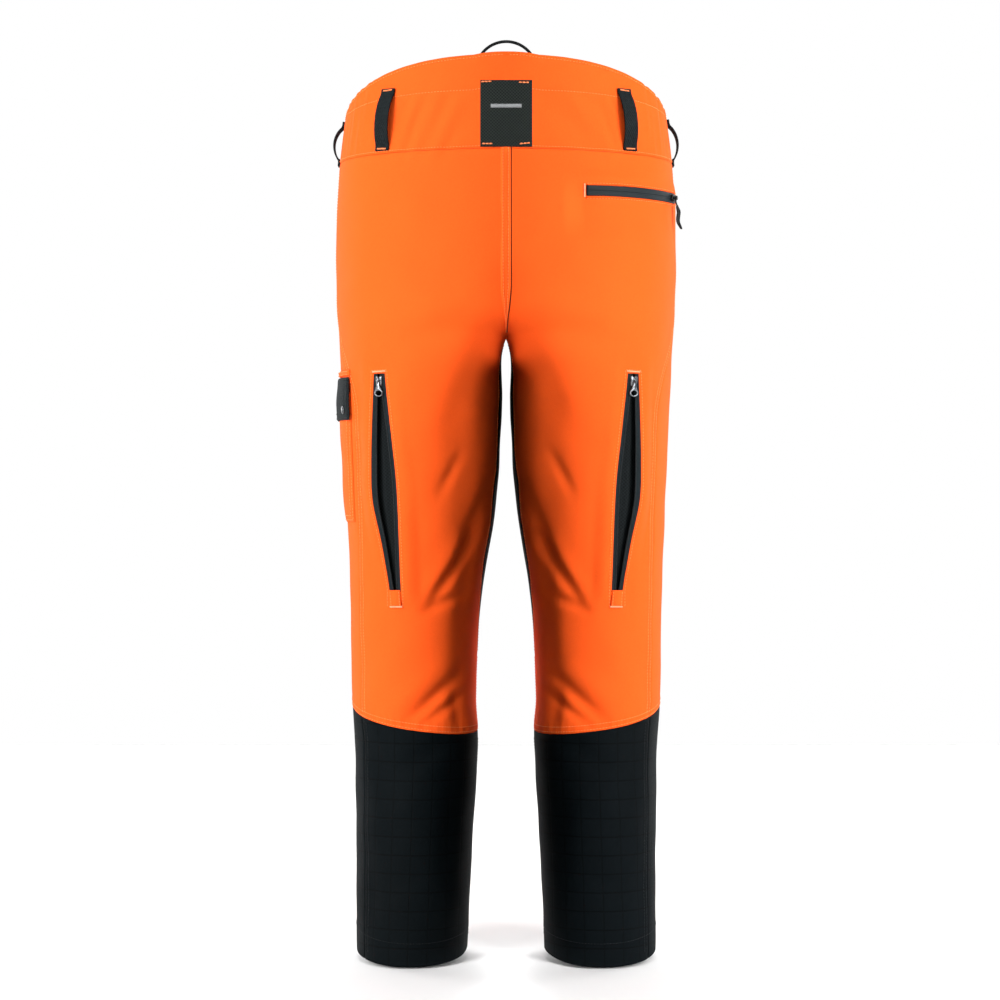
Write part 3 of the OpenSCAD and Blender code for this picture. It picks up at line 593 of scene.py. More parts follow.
def sweep(points, across, normals, profile, close_ends=True):
    """Closed profile of (side, height) pairs carried along a path."""
    points, across, normals = (np.asarray(v, float) for v in (points, across, normals))
    profile = np.asarray(profile, float)
    ring = (points[:, None] + profile[None, :, 0:1] * across[:, None]
            + profile[None, :, 1:2] * normals[:, None])
    rows, cols = ring.shape[:2]
    faces = grid_quads(rows, cols, wrap=True).tolist()
    if close_ends:
        faces.append(tuple(range(cols - 1, -1, -1)))
        faces.append(tuple((rows - 1) * cols + k for k in range(cols)))
    along = np.concatenate([[0], np.cumsum(np.linalg.norm(np.diff(points, axis=0), axis=1))])
    width = np.concatenate([[0], np.cumsum(np.linalg.norm(np.diff(profile, axis=0), axis=1))])
    uv = np.stack(np.broadcast_arrays(width[None, :], along[:, None]), -1).reshape(-1, 2)
    return ring.reshape(-1, 3), faces, uv


def flat_profile(width, low, high, r=0.35, ribs=0, rib=0.12):
    """Cross-section of a flat strap with rounded edges, with fine ribs on its upper face."""
    half = width / 2
    top = []
    count = max(2, ribs * 4 + 1)
    for x in np.linspace(-half + r, half - r, count):
        wave = rib * math.cos(2 * math.pi * ribs * x / width) if ribs else 0.0
        top.append((x, high + wave))
    return ([(-half + r, low), (-half, low + r), (-half, high - r)] + top
            + [(half, high - r), (half, low + r), (half - r, low)])


def bar_tack(soup, centre, along, normal, length, width=2.2, pitch=0.75, lift=0.45):
    """Dense zigzag of thread across a seam end."""
    centre, along, normal = (np.asarray(v, float) for v in (centre, along, normal))
    across = np.cross(normal, along)
    count = int(length / pitch)
    s = (np.arange(count) - (count - 1) / 2) * pitch
    lean = np.where(np.arange(count) % 2 == 0, 0.28, -0.28)
    origin = centre + s[:, None] * along + lift * normal
    y = unit(across + lean[:, None] * along)
    n = np.broadcast_to(normal, y.shape)
    soup.copies(spindle(width, 0.8, 0.75), origin, np.cross(y, n), y, n)


# ---------------------------------------------------------------- materials

def linear(r, g, b):
    """Linear colour of an 8-bit screen colour."""
    return tuple(((v / 255) / 12.92 if v <= 10 else ((v / 255 + 0.055) / 1.055) ** 2.4)
                 for v in (r, g, b)) + (1.0,)


class Graph:
    """Node tree of a material, with short calls for arithmetic."""

    def __init__(self, name):
        self.material = bpy.data.materials.new(name)
        self.material.use_nodes = True
        self.nodes = self.material.node_tree.nodes
        self.links = self.material.node_tree.links
        self.nodes.clear()
        self.shader = self.nodes.new("ShaderNodeBsdfPrincipled")
        output = self.nodes.new("ShaderNodeOutputMaterial")
        self.links.new(self.shader.outputs[0], output.inputs[0])

    def set(self, **values):
        for key, value in values.items():
            self.feed(self.shader.inputs[key.replace("_", " ")], value)
        return self

    def feed(self, socket, value):
        if hasattr(value, "is_linked"):
            self.links.new(value, socket)
        else:
            socket.default_value = value

    def math(self, operation, a, b=0.0, c=None, clamp=False):
        node = self.nodes.new("ShaderNodeMath")
        node.operation = operation
        node.use_clamp = clamp
        self.feed(node.inputs[0], a)
        self.feed(node.inputs[1], b)
        if c is not None:
            self.feed(node.inputs[2], c)
        return node.outputs[0]

    def wave(self, coordinate, pitch):
        """Sine of a coordinate in metres, with a pitch in millimetres."""
        return self.math("SINE", self.math("MULTIPLY", coordinate, 2000 * math.pi / pitch))

    def uv(self):
        node = self.nodes.new("ShaderNodeUVMap")
        node.uv_map = "cloth"
        split = self.nodes.new("ShaderNodeSeparateXYZ")
        self.links.new(node.outputs[0], split.inputs[0])
        return split.outputs[0], split.outputs[1]

    def place(self):
        return self.nodes.new("ShaderNodeTexCoord").outputs["Object"]

    def noise(self, scale, detail=3.0, rough=0.55, stretch=None):
        """Noise over the object, with features of about 1/scale metres."""
        at = self.place()
        if stretch is not None:
            mapping = self.nodes.new("ShaderNodeMapping")
            mapping.inputs["Scale"].default_value = stretch
            self.links.new(at, mapping.inputs[0])
            at = mapping.outputs[0]
        node = self.nodes.new("ShaderNodeTexNoise")
        node.inputs["Scale"].default_value = scale
        node.inputs["Detail"].default_value = detail
        node.inputs["Roughness"].default_value = rough
        self.links.new(at, node.inputs["Vector"])
        return node.outputs[0]

    def mix(self, factor, a, b):
        node = self.nodes.new("ShaderNodeMix")
        node.data_type = "RGBA"
        self.feed(node.inputs[0], factor)
        self.feed(node.inputs[6], a)
        self.feed(node.inputs[7], b)
        return node.outputs[2]

    def remap(self, value, low, high, to_low=0.0, to_high=1.0):
        node = self.nodes.new("ShaderNodeMapRange")
        for socket, v in zip(node.inputs, (value, low, high, to_low, to_high)):
            self.feed(socket, v)
        return node.outputs[0]

    def bump(self, height, strength, distance_mm, under=None):
        node = self.nodes.new("ShaderNodeBump")
        node.inputs["Strength"].default_value = strength
        node.inputs["Distance"].default_value = distance_mm * MM
        self.feed(node.inputs["Height"], height)
        if under is not None:
            self.links.new(under, node.inputs["Normal"])
        return node.outputs[0]


def twill(g, pitch):
    """Height of a twill weave: steep diagonal ribs broken by the crossing threads."""
    u, v = g.uv()
    diagonal = g.wave(g.math("ADD", u, g.math("MULTIPLY", v, 0.62)), pitch)
    threads = g.wave(g.math("SUBTRACT", v, g.math("MULTIPLY", u, 0.18)), pitch * 0.62)
    return g.math("ADD", g.math("MULTIPLY", diagonal, 0.65), g.math("MULTIPLY", threads, 0.35))


def plain_weave(g, pitch):
    """Height of a plain weave: over and under on a square net of threads."""
    u, v = g.uv()
    return g.math("MULTIPLY", g.wave(u, pitch), g.wave(v, pitch))


def fabric(name, light, dark, weave, pitch, bump=0.25, depth=0.16, rough=0.8, spec=0.14, sheen=0.0,
           blotch=0.25, blotch_scale=9.0):
    g = Graph(name)
    height = weave(g, pitch)
    fuzz = g.noise(1400, 2.0)
    slow = g.noise(blotch_scale, 4.0)
    grain = g.noise(430, 2.0)
    tone = g.math("ADD", g.math("ADD", g.math("MULTIPLY", height, 0.16), g.math("MULTIPLY", grain, 0.5)),
                  g.math("ADD", g.math("MULTIPLY", fuzz, 0.35), g.math("MULTIPLY", slow, blotch)))
    tone = g.remap(tone, 0.25, 0.65 + blotch)
    g.set(Base_Color=g.mix(tone, dark, light), Specular_IOR_Level=spec, Sheen_Weight=sheen,
          Sheen_Roughness=0.5)
    g.set(Roughness=g.remap(fuzz, 0.3, 0.7, rough - 0.06, rough + 0.06))
    fine = g.bump(grain, bump, depth * 1.5, g.bump(fuzz, bump * 0.5, depth * 0.7))
    g.set(Normal=g.bump(height, bump, depth, fine))
    return g.material


def ripstop(name, light, dark, line, square):
    """Dense plain weave with stronger threads on a square net, slightly shiny."""
    g = Graph(name)
    u, v = g.uv()
    weave = plain_weave(g, 0.9)

    def lines(coordinate, pitch):
        node = g.math("ABSOLUTE", g.math("COSINE", g.math("MULTIPLY", coordinate, 1000 * math.pi / pitch)))
        return g.math("POWER", node, 200.0)

    net = g.math("MAXIMUM", lines(v, square[1]), g.math("MULTIPLY", lines(u, square[0]), 0.7))
    fuzz = g.noise(900, 2.0)
    slow = g.noise(7.0, 4.0, stretch=(1.0, 1.0, 0.55))
    tone = g.remap(g.math("ADD", g.math("MULTIPLY", fuzz, 0.4), slow), 0.45, 0.95)
    base = g.mix(tone, dark, light)
    g.set(Base_Color=g.mix(g.math("MULTIPLY", net, 0.8), base, line), Specular_IOR_Level=0.05)
    g.set(Roughness=g.remap(slow, 0.3, 0.7, 0.66, 0.78))
    fine = g.bump(weave, 0.22, 0.12)
    g.set(Normal=g.bump(net, 0.8, -0.3, fine))
    return g.material


def net_fabric(name, thread, hole, pitch):
    """Knitted mesh: small dark eyes on a staggered net."""
    g = Graph(name)
    u, v = g.uv()
    eyes = g.math("ADD", g.wave(g.math("ADD", u, v), pitch), g.wave(g.math("SUBTRACT", u, v), pitch))
    factor = g.remap(eyes, -0.7, 1.1)
    g.set(Base_Color=g.mix(factor, thread, hole), Roughness=0.8, Specular_IOR_Level=0.14)
    g.set(Normal=g.bump(g.math("SUBTRACT", 1.0, factor), 0.6, 0.5))
    return g.material


def thread(name, colour, dark):
    g = Graph(name)
    twist = g.noise(2600, 1.0)
    g.set(Base_Color=g.mix(g.remap(twist, 0.3, 0.7), dark, colour), Roughness=0.62, Specular_IOR_Level=0.2)
    g.set(Normal=g.bump(twist, 0.4, 0.2))
    return g.material


def metal(name, light, dark, rough):
    """Nickel-plated metal with fine brushing and a dull patina in places."""
    g = Graph(name)
    brushed = g.noise(500, 3.0, stretch=(1.0, 1.0, 9.0))
    slow = g.noise(160, 3.0)
    g.set(Base_Color=g.mix(g.remap(slow, 0.35, 0.7), light, dark), Metallic=1.0)
    g.set(Roughness=g.remap(brushed, 0.2, 0.8, rough - 0.07, rough + 0.1))
    g.set(Normal=g.bump(brushed, 0.12, 0.05))
    return g.material


def rubber(name, colour, dark, rough=0.55):
    g = Graph(name)
    grain = g.noise(1800, 2.0)
    g.set(Base_Color=g.mix(g.remap(grain, 0.3, 0.7), dark, colour), Roughness=rough, Specular_IOR_Level=0.2)
    g.set(Normal=g.bump(grain, 0.25, 0.1))
    return g.material


ORANGE = linear(246, 92, 31)
ORANGE_LOW = linear(233, 80, 23)
orange_cloth = fabric("stretch_shell_orange", ORANGE, ORANGE_LOW, twill, 1.1, blotch=0.3, spec=0.05)
orange_band = fabric("waistband_orange", ORANGE, ORANGE_LOW, twill, 1.1, blotch=0.3, spec=0.05)
inside_cloth = fabric("lining_black", linear(30, 33, 35), linear(16, 18, 19), plain_weave, 1.6, spec=0.08)
inside_orange = fabric("shell_backing", linear(196, 74, 26), linear(170, 60, 20), plain_weave, 1.2, spec=0.08)
leg_cloth = ripstop("ripstop_black", linear(6, 12, 15), linear(3, 7, 9), linear(1, 2, 2), (25.0, 23.5))
gusset_cloth = fabric("gusset_black", linear(12, 15, 16), linear(6, 8, 9), twill, 1.0, spec=0.08)
mesh_cloth = net_fabric("vent_mesh_black", linear(20, 26, 28), linear(0, 1, 1), 4.4)
webbing_cloth = fabric("webbing_black", linear(34, 41, 43), linear(7, 9, 10), twill, 3.2, bump=0.9, depth=0.5,
                       spec=0.1, blotch=0.1)
patch_cloth = net_fabric("patch_black", linear(36, 42, 39), linear(4, 6, 6), 4.0)
tape_cloth = fabric("zip_tape_grey", linear(32, 41, 45), linear(13, 18, 20), plain_weave, 0.8, bump=0.4,
                    spec=0.1, blotch=0.1)
coated_tape = rubber("coated_zip_grey", linear(27, 35, 39), linear(17, 23, 26), 0.66)
coil = rubber("zip_coil_black", linear(22, 26, 28), linear(10, 12, 13), 0.45)
cord_cloth = fabric("hanger_cord_black", linear(24, 27, 29), linear(10, 12, 13), twill, 1.4, bump=0.7,
                    depth=0.4)
pad_cloth = fabric("pad_felt", linear(226, 222, 208), linear(198, 192, 176), plain_weave, 2.4, bump=0.5,
                   depth=0.5, spec=0.05)
facing_cloth = fabric("facing_charcoal", linear(62, 66, 68), linear(36, 39, 41), twill, 1.3, bump=0.4,
                      spec=0.08)
thread_orange = thread("thread_orange", linear(255, 150, 84), linear(238, 112, 50))
thread_black = thread("thread_black", linear(14, 19, 22), linear(7, 9, 10))
thread_pale = thread("thread_pale", linear(250, 190, 150), linear(226, 150, 104))
thread_tack = thread("thread_tack_orange", linear(252, 150, 96), linear(236, 120, 66))
embroidery = thread("embroidery_pale", linear(172, 174, 176), linear(122, 124, 126))
slider_metal = metal("slider_nickel", linear(132, 136, 140), linear(52, 54, 58), 0.3)
stud_metal = metal("stud_black_nickel", linear(96, 98, 100), linear(52, 54, 56), 0.3)
pull_rubber = rubber("pull_rubber", linear(8, 10, 12), linear(4, 5, 6), 0.42)


# ---------------------------------------------------------------- shell panels

STEP = 3.0
EDGE_STEPS = np.array([0.0, 0.7, 1.6, 2.8])


def with_edges(low, high, step, at_low=True, at_high=True):
    """Even steps from low to high, with finer ones at the sewn ends."""
    inner_low = low + (EDGE_STEPS[-1] + step if at_low else 0)
    inner_high = high - (EDGE_STEPS[-1] + step if at_high else 0)
    count = max(2, int(round((inner_high - inner_low) / step)) + 1)
    parts = [np.linspace(inner_low, inner_high, count)]
    if at_low:
        parts.insert(0, low + EDGE_STEPS)
    if at_high:
        parts.append(high - EDGE_STEPS[::-1])
    return np.concatenate(parts)


def shares(width, step, at_low=True, at_high=True):
    """The same steps as shares of a width."""
    return with_edges(0.0, width, step, at_low, at_high) / width


def arc_lengths(p):
    return np.concatenate([np.zeros((len(p), 1)),
                           np.cumsum(np.linalg.norm(np.diff(p, axis=1), axis=2), axis=1)], axis=1)


flat_sizes = {}


def flat_size(name, z, t):
    """Size of the cut cloth: its widest row, its longest column, and its area, in metres."""
    p = skin(z, t)
    wide = np.linalg.norm(np.diff(p, axis=1), axis=2).sum(1).max()
    tall = np.linalg.norm(np.diff(p, axis=0), axis=2).sum(0).max()
    area = 0.5 * np.linalg.norm(np.cross(p[1:, 1:] - p[:-1, :-1], p[1:, :-1] - p[:-1, 1:]), axis=2).sum()
    flat_sizes[name] = ((wide * MM, tall * MM), area * MM**2)
    return flat_sizes[name]


def wrap(t):
    return np.where(t > 180.0, t - 360.0, t)


def seam_dip(z_rows, p, low=True, high=True, bottom=True, top=True):
    """Cloth turned in along the sewn edges of a panel, as a small negative lift."""
    arcs = arc_lengths(p)
    to_low = arcs if low else np.full(arcs.shape, 99.0)
    to_high = arcs[:, -1:] - arcs if high else np.full(arcs.shape, 99.0)
    to_bottom = np.broadcast_to((z_rows - z_rows[0] if bottom else np.full(len(z_rows), 99.0))[:, None],
                                arcs.shape)
    to_top = np.broadcast_to((z_rows[-1] - z_rows if top else np.full(len(z_rows), 99.0))[:, None],
                             arcs.shape)
    d = np.minimum(np.minimum(to_low, to_high), np.minimum(to_bottom, to_top))
    return -0.8 * np.exp(-(d / 1.4) ** 2)


def pucker(distance, phase):
    """Small ripples beside a row of stitches that pulls the cloth together."""
    return 0.32 * np.exp(-((distance - 6.0) / 7.0) ** 2) * np.sin(2 * math.pi * phase / 11.0)


def panel(name, sign, z_rows, t, materials, slot, node, keep=None, edges=(True, True, True, True),
          seam_stitched=False, ref=None):
    """A shell panel of one side from its rows and the angles of its columns."""
    z = row(z_rows[:, None], wrap(t))
    base = skin(z, wrap(t))
    lift = seam_dip(z_rows, base, *edges)
    arcs = arc_lengths(base)
    if seam_stitched:
        lift = lift + pucker(arcs[:, -1:] - arcs, z + 3 * np.sin(z / 17.0))
        lift = lift + pucker((z_rows - z_rows[0])[:, None], arcs + 2 * np.sin(arcs / 13.0))
    outer, n = cloth(z, wrap(t), sign, lift)
    inner = outer - SHELL_T * n
    quads = grid_quads(*z.shape, keep=keep)
    ref = z.shape[1] // 2 if ref is None else ref
    uv = np.stack([arcs - arcs[:, ref:ref + 1], z], -1).reshape(-1, 2)
    points, faces, slots, used = thick(outer.reshape(-1, 3), inner.reshape(-1, 3), quads)
    uv = np.concatenate([uv, uv])[used]
    if sign < 0:
        points = points * np.array([-1.0, 1.0, 1.0])
        faces = [f[::-1] for f in faces]
    obj = new_object(name, points, faces, materials, uv, slots)
    place(obj, "garment", slot, node)
    (wide, tall), area = flat_size(name, z, wrap(t))
    return obj


SIDE_NAMES = ((1, "right"), (-1, "left"))
ARC_SPEED = 1.75


def back_columns(z_rows):
    """Angles of the columns of an upper back panel: inner part, the vent, and outer part."""
    part_a = shares(150.0, STEP)
    part_h = np.linspace(0, 1, 8)[1:-1]
    part_b = shares(100.0, STEP)
    z_col = z_rows[:, None]
    low = np.where(z_col > CROTCH_Z, -179.99, -inner_angle(z_col))
    for _ in range(4):
        low = np.where(z_col > CROTCH_Z, -middle_angle(row(z_col, low)), low)
    inner = np.full_like(z_col, -75.0)
    outer = np.full_like(z_col, -60.0)
    for _ in range(4):
        inner = vent_angle("inner", row(z_col, inner))
        outer = vent_angle("outer", row(z_col, outer))
    high = side_angle(z_col)
    # Above the vent the two lines spread apart a little with the cloth.
    t = np.concatenate([low + (inner - low) * part_a, inner + (outer - inner) * part_h,
                        outer + (high - outer) * part_b], axis=1)
    return t, len(part_a) - 1, len(part_a) + len(part_h)


FLY_HIGH, FLY_LENGTH = 1022.0, 124.0
FLY_SLOT_W = 12.6
upper_z = with_edges(KNEE_Z, WAIST_Z, STEP)
lower_z = with_edges(0.0, KNEE_Z, STEP, at_low=False)

for sign, side in SIDE_NAMES:
    t, h0, h1 = back_columns(upper_z)
    z = row(upper_z[:, None], t)
    mid = (z[1:, :-1] + z[:-1, 1:]) / 2
    column = np.broadcast_to(np.arange(t.shape[1] - 1), mid.shape)
    open_cells = (column >= h0) & (column < h1) & (mid > VENT_Z[0]) & (mid < VENT_Z[1])
    panel(f"back_panel_{side}_cloth", sign, upper_z, t, [orange_cloth, inside_orange], "shell_fabric",
          f"back_panel_{side}", keep=~open_cells, edges=(False, True, True, True), seam_stitched=True, ref=h0)

    start = side_angle(upper_z)[:, None]
    high = np.where(upper_z[:, None] > CROTCH_Z, 179.99, inner_angle(upper_z[:, None]))
    for _ in range(4):
        high = np.where(upper_z[:, None] > CROTCH_Z, middle_angle(row(upper_z[:, None], high)), high)
    # The fronts leave a slot for the fly zip.
    middle_z = row(upper_z[:, None], high)
    beside_fly = (middle_z > FLY_HIGH - FLY_LENGTH + 1) & (middle_z < FLY_HIGH + 1)
    high = np.where(beside_fly, angle_at(middle_z, FLY_SLOT_W / 2), high)
    t = start + (high - start) * shares(250.0, STEP)
    panel(f"front_panel_{side}_cloth", sign, upper_z, t, [orange_cloth, inside_orange], "shell_fabric",
          f"front_panel_{side}", edges=(True, False, True, True), seam_stitched=False)

    t = -180.0 + (side_angle(lower_z)[:, None] + 180.0) * shares(190.0, STEP)
    panel(f"lower_back_panel_{side}_cloth", sign, lower_z, t, [leg_cloth, inside_cloth], "lower_leg_fabric",
          f"lower_back_panel_{side}", edges=(True, True, False, True))
    t = side_angle(lower_z)[:, None] + (180.0 - side_angle(lower_z)[:, None]) * shares(240.0, STEP)
    panel(f"lower_front_panel_{side}_cloth", sign, lower_z, t, [leg_cloth, inside_cloth], "lower_leg_fabric",
          f"lower_front_panel_{side}", edges=(True, True, False, True))

    gusset_z = with_edges(GUSSET_LOW, CROTCH_Z, 4.0)
    half = gusset_half(gusset_z)[:, None]
    t = 180.0 + half * np.linspace(-1, 1, 13)
    panel(f"inner_gusset_{side}_cloth", sign, gusset_z, t, [gusset_cloth, inside_cloth], "gusset_fabric",
          f"inner_gusset_{side}", edges=(True, True, True, True))


# ---------------------------------------------------------------- waistband

def band_section(t, sign, rows=26, bottom=0.3, inset=4.0):
    """Closed section of the waistband at each angle: up the outside, over the fold, down the inside."""
    z0 = waist_seam(t) + bottom
    z1 = band_top(t) - 1.4
    top_wave = 0.8 * gathers(z1, t, sign)
    s = np.concatenate([[0.0, 0.01, 0.025], np.linspace(0.05, 1.0, rows - 3)])
    outside = []
    for share in s:
        dip = -1.0 * math.exp(-(share / 0.018) ** 2)
        outside.append(cloth(z0 + (z1 - z0) * share + top_wave * share, t, sign, dip)[0])
    fold = []
    for a in np.linspace(0, 180, 8)[1:-1]:
        drop = inset / 2 * (1 - math.cos(math.radians(a)))
        rise = 1.4 * math.sin(math.radians(a))
        fold.append(cloth(z1 + rise + top_wave, t, sign, -drop)[0])
    inside = []
    for share in s[::-3]:
        inside.append(cloth(z0 + (z1 - z0) * share + top_wave * share, t, sign, -inset)[0])
    return np.stack(outside + fold + inside, axis=0), len(outside) + len(fold)


def band(name, node, halves):
    """The waistband of one or both sides as one closed tube; halves are (sign, angles) in order."""
    sections = []
    for sign, t in halves:
        ring, outside = band_section(t, sign)
        sections.append(ring * np.array([sign, 1.0, 1.0]))
    ring = np.concatenate(sections, axis=1)
    count, cols = ring.shape[:2]
    points = ring.transpose(1, 0, 2).reshape(-1, 3)
    faces = grid_quads(cols, count, wrap=True, flip=True).tolist()
    faces.append(tuple(range(count)))
    faces.append(tuple((cols - 1) * count + k for k in range(count - 1, -1, -1)))
    along = np.concatenate([[0], np.cumsum(np.linalg.norm(np.diff(ring[0], axis=0), axis=1))])
    height = ring[:, :, 2].T
    uv = np.stack(np.broadcast_arrays(along[:, None], height), -1).reshape(-1, 2)
    obj = new_object(name, points, faces, [orange_band], uv)
    place(obj, "garment", "shell_fabric", node)
    return obj


band("waistband_back_cloth", "waistband_back",
     [(-1, np.arange(-0.02, -90.0, -1.0)), (1, np.arange(-90.0, 0.0, 1.0))])
for sign, side in SIDE_NAMES:
    t = np.linspace(0.02, 89.8, 60)
    band(f"waistband_front_{side}_cloth", f"waistband_front_{side}", [(sign, t if sign > 0 else t)])


# ---------------------------------------------------------------- label and belt loops

def at_back(z, x, lift=0.0):
    """Point and normal of the cloth at a signed distance from the middle of the back."""
    z, x = np.broadcast_arrays(np.asarray(z, float), np.asarray(x, float))
    t = -angle_at(z, np.abs(x))
    p, n = cloth(z, t, 1, lift)
    flip = np.where(x < 0, -1.0, 1.0)[..., None] * np.array([1.0, 0, 0]) + np.array([0, 1.0, 1.0])
    return p * flip, n * flip


def at_front(z, x, lift=0.0):
    z, x = np.broadcast_arrays(np.asarray(z, float), np.asarray(x, float))
    t = angle_at(z, np.abs(x))
    p, n = cloth(z, t, 1, lift)
    flip = np.where(x < 0, -1.0, 1.0)[..., None] * np.array([1.0, 0, 0]) + np.array([0, 1.0, 1.0])
    return p * flip, n * flip


def patch(name, surface, z_values, x_values, low, high, material, relief_of=None, bevel=0.5):
    """A thin piece lying on a surface(z, x, lift), with softly rounded edges."""
    z, x = np.meshgrid(z_values, x_values, indexing="ij")
    edge = from_edge(z, x)
    lift = high - bevel * np.exp(-edge / 0.5)
    if relief_of is not None:
        lift = lift + relief_of(z, x)
    outer = surface(z, x, lift)[0]
    inner = surface(z, x, np.full(z.shape, low))[0]
    points, faces, uv = layer(outer, inner, x, z)
    return new_object(name, points, faces, [material], uv)


LABEL_W = 65.0
LABEL_LOW = WAIST_Z + 1.0
LABEL_TOP = 1116.0


def basket(z, x):
    """Coarse honeycomb weave inside a plain border."""
    bulge = np.cos(2 * math.pi * x / 4.0) * np.cos(2 * math.pi * z / 4.0)
    inside = smooth((LABEL_W / 2 - 2.5 - np.abs(x)) / 0.6)
    return inside * (0.24 * bulge - 0.15)


label = patch("label_patch_cloth", at_back, np.arange(LABEL_LOW, LABEL_TOP + 0.1, 0.62),
              np.linspace(-LABEL_W / 2, LABEL_W / 2, 105), 0.5, 2.0, patch_cloth, basket)
place(label, "garment", "webbing", "label_patch")

# A plain satin-stitched bar in the middle of the label, and loose tacks at its corners.
bar = Soup()
for x in np.arange(-19.0, 19.1, 0.62):
    p, n = at_back(1083.0, x, 2.45)
    bar.copies(spindle(5.0, 0.66, 0.8), p[None], unit(np.array([[1.0, 0, 0]])), np.array([[0, 0, 1.0]]),
               n[None])
embroidered = bar.build("label_bar", [embroidery])
place(embroidered, "garment", "webbing")
corner_tacks = Soup()
for x, z, lean in ((-24.5, 1113.8, 0.02), (22.0, 1112.8, -0.02), (-23.5, 1034.6, 0.0), (23.0, 1035.0, 0.1)):
    for k in range(3):
        at = x + (k - 1) * 4.3
        p, n = at_back(z + lean * (at - x), at, 2.4)
        along = unit(np.array([1.0, 0.0, lean]))
        corner_tacks.copies(spindle(4.2, 1.9, 1.1), p[None], np.cross(along, n)[None], along[None], n[None])
place(corner_tacks.build("label_tacks", [thread_tack]), "garment", "webbing")

LOOP_W = 19.0
LOOP_GAP = 9.0


def belt_loop(name, node, sign, t, low, high):
    """A bowed strap of ribbed webbing with both ends folded under and tacked down."""
    p0, p1 = (cloth(np.array(z), np.array(t), sign)[0] for z in (low, high))
    ahead = skin(low, t + 3) - skin(low, t - 3)
    along = unit(np.array([ahead[0], ahead[1], 0.0]))
    up = unit(p1 - p0)
    out = np.cross(along, up)
    span = float(np.linalg.norm(p1 - p0))
    foot = 8.0
    h = np.concatenate([np.linspace(0, foot, 5)[:-1], np.linspace(foot, span - foot, 41),
                        np.linspace(span - foot, span, 5)[1:]])
    s = np.clip((h - foot) / (span - 2 * foot), 0, 1)
    bow = LOOP_GAP * (4 * s * (1 - s)) ** 0.8
    bow = np.convolve(np.pad(bow, 2, mode="edge"), np.ones(5) / 5, "valid")
    centre = p0 + h[:, None] * up + (bow + 0.9)[:, None] * out
    tangent = unit(np.gradient(centre, axis=0))
    normal = unit(np.cross(along, tangent))
    side = np.broadcast_to(along, centre.shape)
    soup = Soup(sign)
    soup.add(*sweep(centre, side, normal, flat_profile(LOOP_W, 0.2, 2.2, r=0.45, ribs=6, rib=0.16)))
    for end in (0, 1):
        pick = slice(0, 6) if end == 0 else slice(-6, None)
        base = centre[pick] - 0.55 * out
        soup.add(*sweep(base, side[pick], np.broadcast_to(out, base.shape),
                        flat_profile(LOOP_W - 0.8, -0.5, 0.7)))
    strap = soup.build(name, [webbing_cloth])
    place(strap, "garment", "webbing", node)
    tacks = Soup(sign)
    for h_at, lean in ((2.2, 0.04), (span - 2.2, -0.05)):
        bar_tack(tacks, p0 + h_at * up + 2.7 * out, unit(along + lean * up), out, LOOP_W - 5.5, width=2.2,
                 pitch=0.8, lift=0.5)
    place(tacks.build(name + "_tacks", [thread_tack]), "garment", "webbing")


REAR_T = -47.0
FRONT_T = 52.0
for sign, side in SIDE_NAMES:
    belt_loop(f"belt_loop_rear_{side}_strap", f"belt_loop_rear_{side}", sign, REAR_T, WAIST_Z, 1109.0)
    belt_loop(f"belt_loop_side_{side}_strap", f"belt_loop_side_{side}", sign, 0.0, 1023.0,
              1083.0 if sign > 0 else 1080.0)
    belt_loop(f"belt_loop_front_{side}_strap", f"belt_loop_front_{side}", sign, FRONT_T, 1024.0, 1073.0)


# ---------------------------------------------------------------- hanger

def tube(path, r, sides=14, braid=0.0, pitch=6.0):
    """Closed round cord along a path, with a low braid on its surface."""
    path = np.asarray(path, float)
    tangent = unit(np.gradient(path, axis=0))
    reference = np.array([0.0, 1.0, 0.0]) if abs(tangent[0][1]) < 0.8 else np.array([1.0, 0.0, 0.0])
    side = [unit(np.cross(tangent[0], reference))]
    for k in range(1, len(path)):
        v = side[-1] - tangent[k] * np.dot(side[-1], tangent[k])
        side.append(unit(v))
    side = np.array(side)
    normal = np.cross(side, tangent)
    at = np.concatenate([[0], np.cumsum(np.linalg.norm(np.diff(path, axis=0), axis=1))])
    angle = np.linspace(0, 2 * math.pi, sides, endpoint=False)
    wave = np.sin(3 * angle[None] + 2 * math.pi * at[:, None] / pitch) * np.sin(
        3 * angle[None] - 2 * math.pi * at[:, None] / pitch)
    radius = r + braid * wave
    ring = (path[:, None] + (radius * np.cos(angle))[..., None] * side[:, None]
            + (radius * np.sin(angle))[..., None] * normal[:, None])
    faces = grid_quads(len(path), sides, wrap=True).tolist()
    faces.append(tuple(range(sides - 1, -1, -1)))
    faces.append(tuple((len(path) - 1) * sides + k for k in range(sides)))
    uv = np.stack(np.broadcast_arrays(angle[None] * r, at[:, None]), -1).reshape(-1, 2)
    return ring.reshape(-1, 3), faces, uv


HANGER_SPAN = 74.5
HANGER_RISE = 28.6
HANGER_R = (HANGER_SPAN**2 / 4 + HANGER_RISE**2) / (2 * HANGER_RISE)
HANGER_Y = float(skin(BACK_TOP_Z, -90)[1]) + 4.0 + 1.9 + 2.0 + 0.9
HANGER_FOOT = BACK_TOP_Z - 12.0
half_arc = math.asin(HANGER_SPAN / 2 / HANGER_R)
arc = np.linspace(-half_arc, half_arc, 70)
hanger_path = np.stack([HANGER_R * np.sin(arc), np.full(70, HANGER_Y),
                        HANGER_FOOT + HANGER_RISE - HANGER_R + HANGER_R * np.cos(arc)], -1)
points, faces, uv = tube(hanger_path, 1.9, braid=0.12)
hanger = new_object("hanger_cord", points, faces, [cord_cloth], uv)
place(hanger, "garment", "hanger_cord", "hanger_loop")

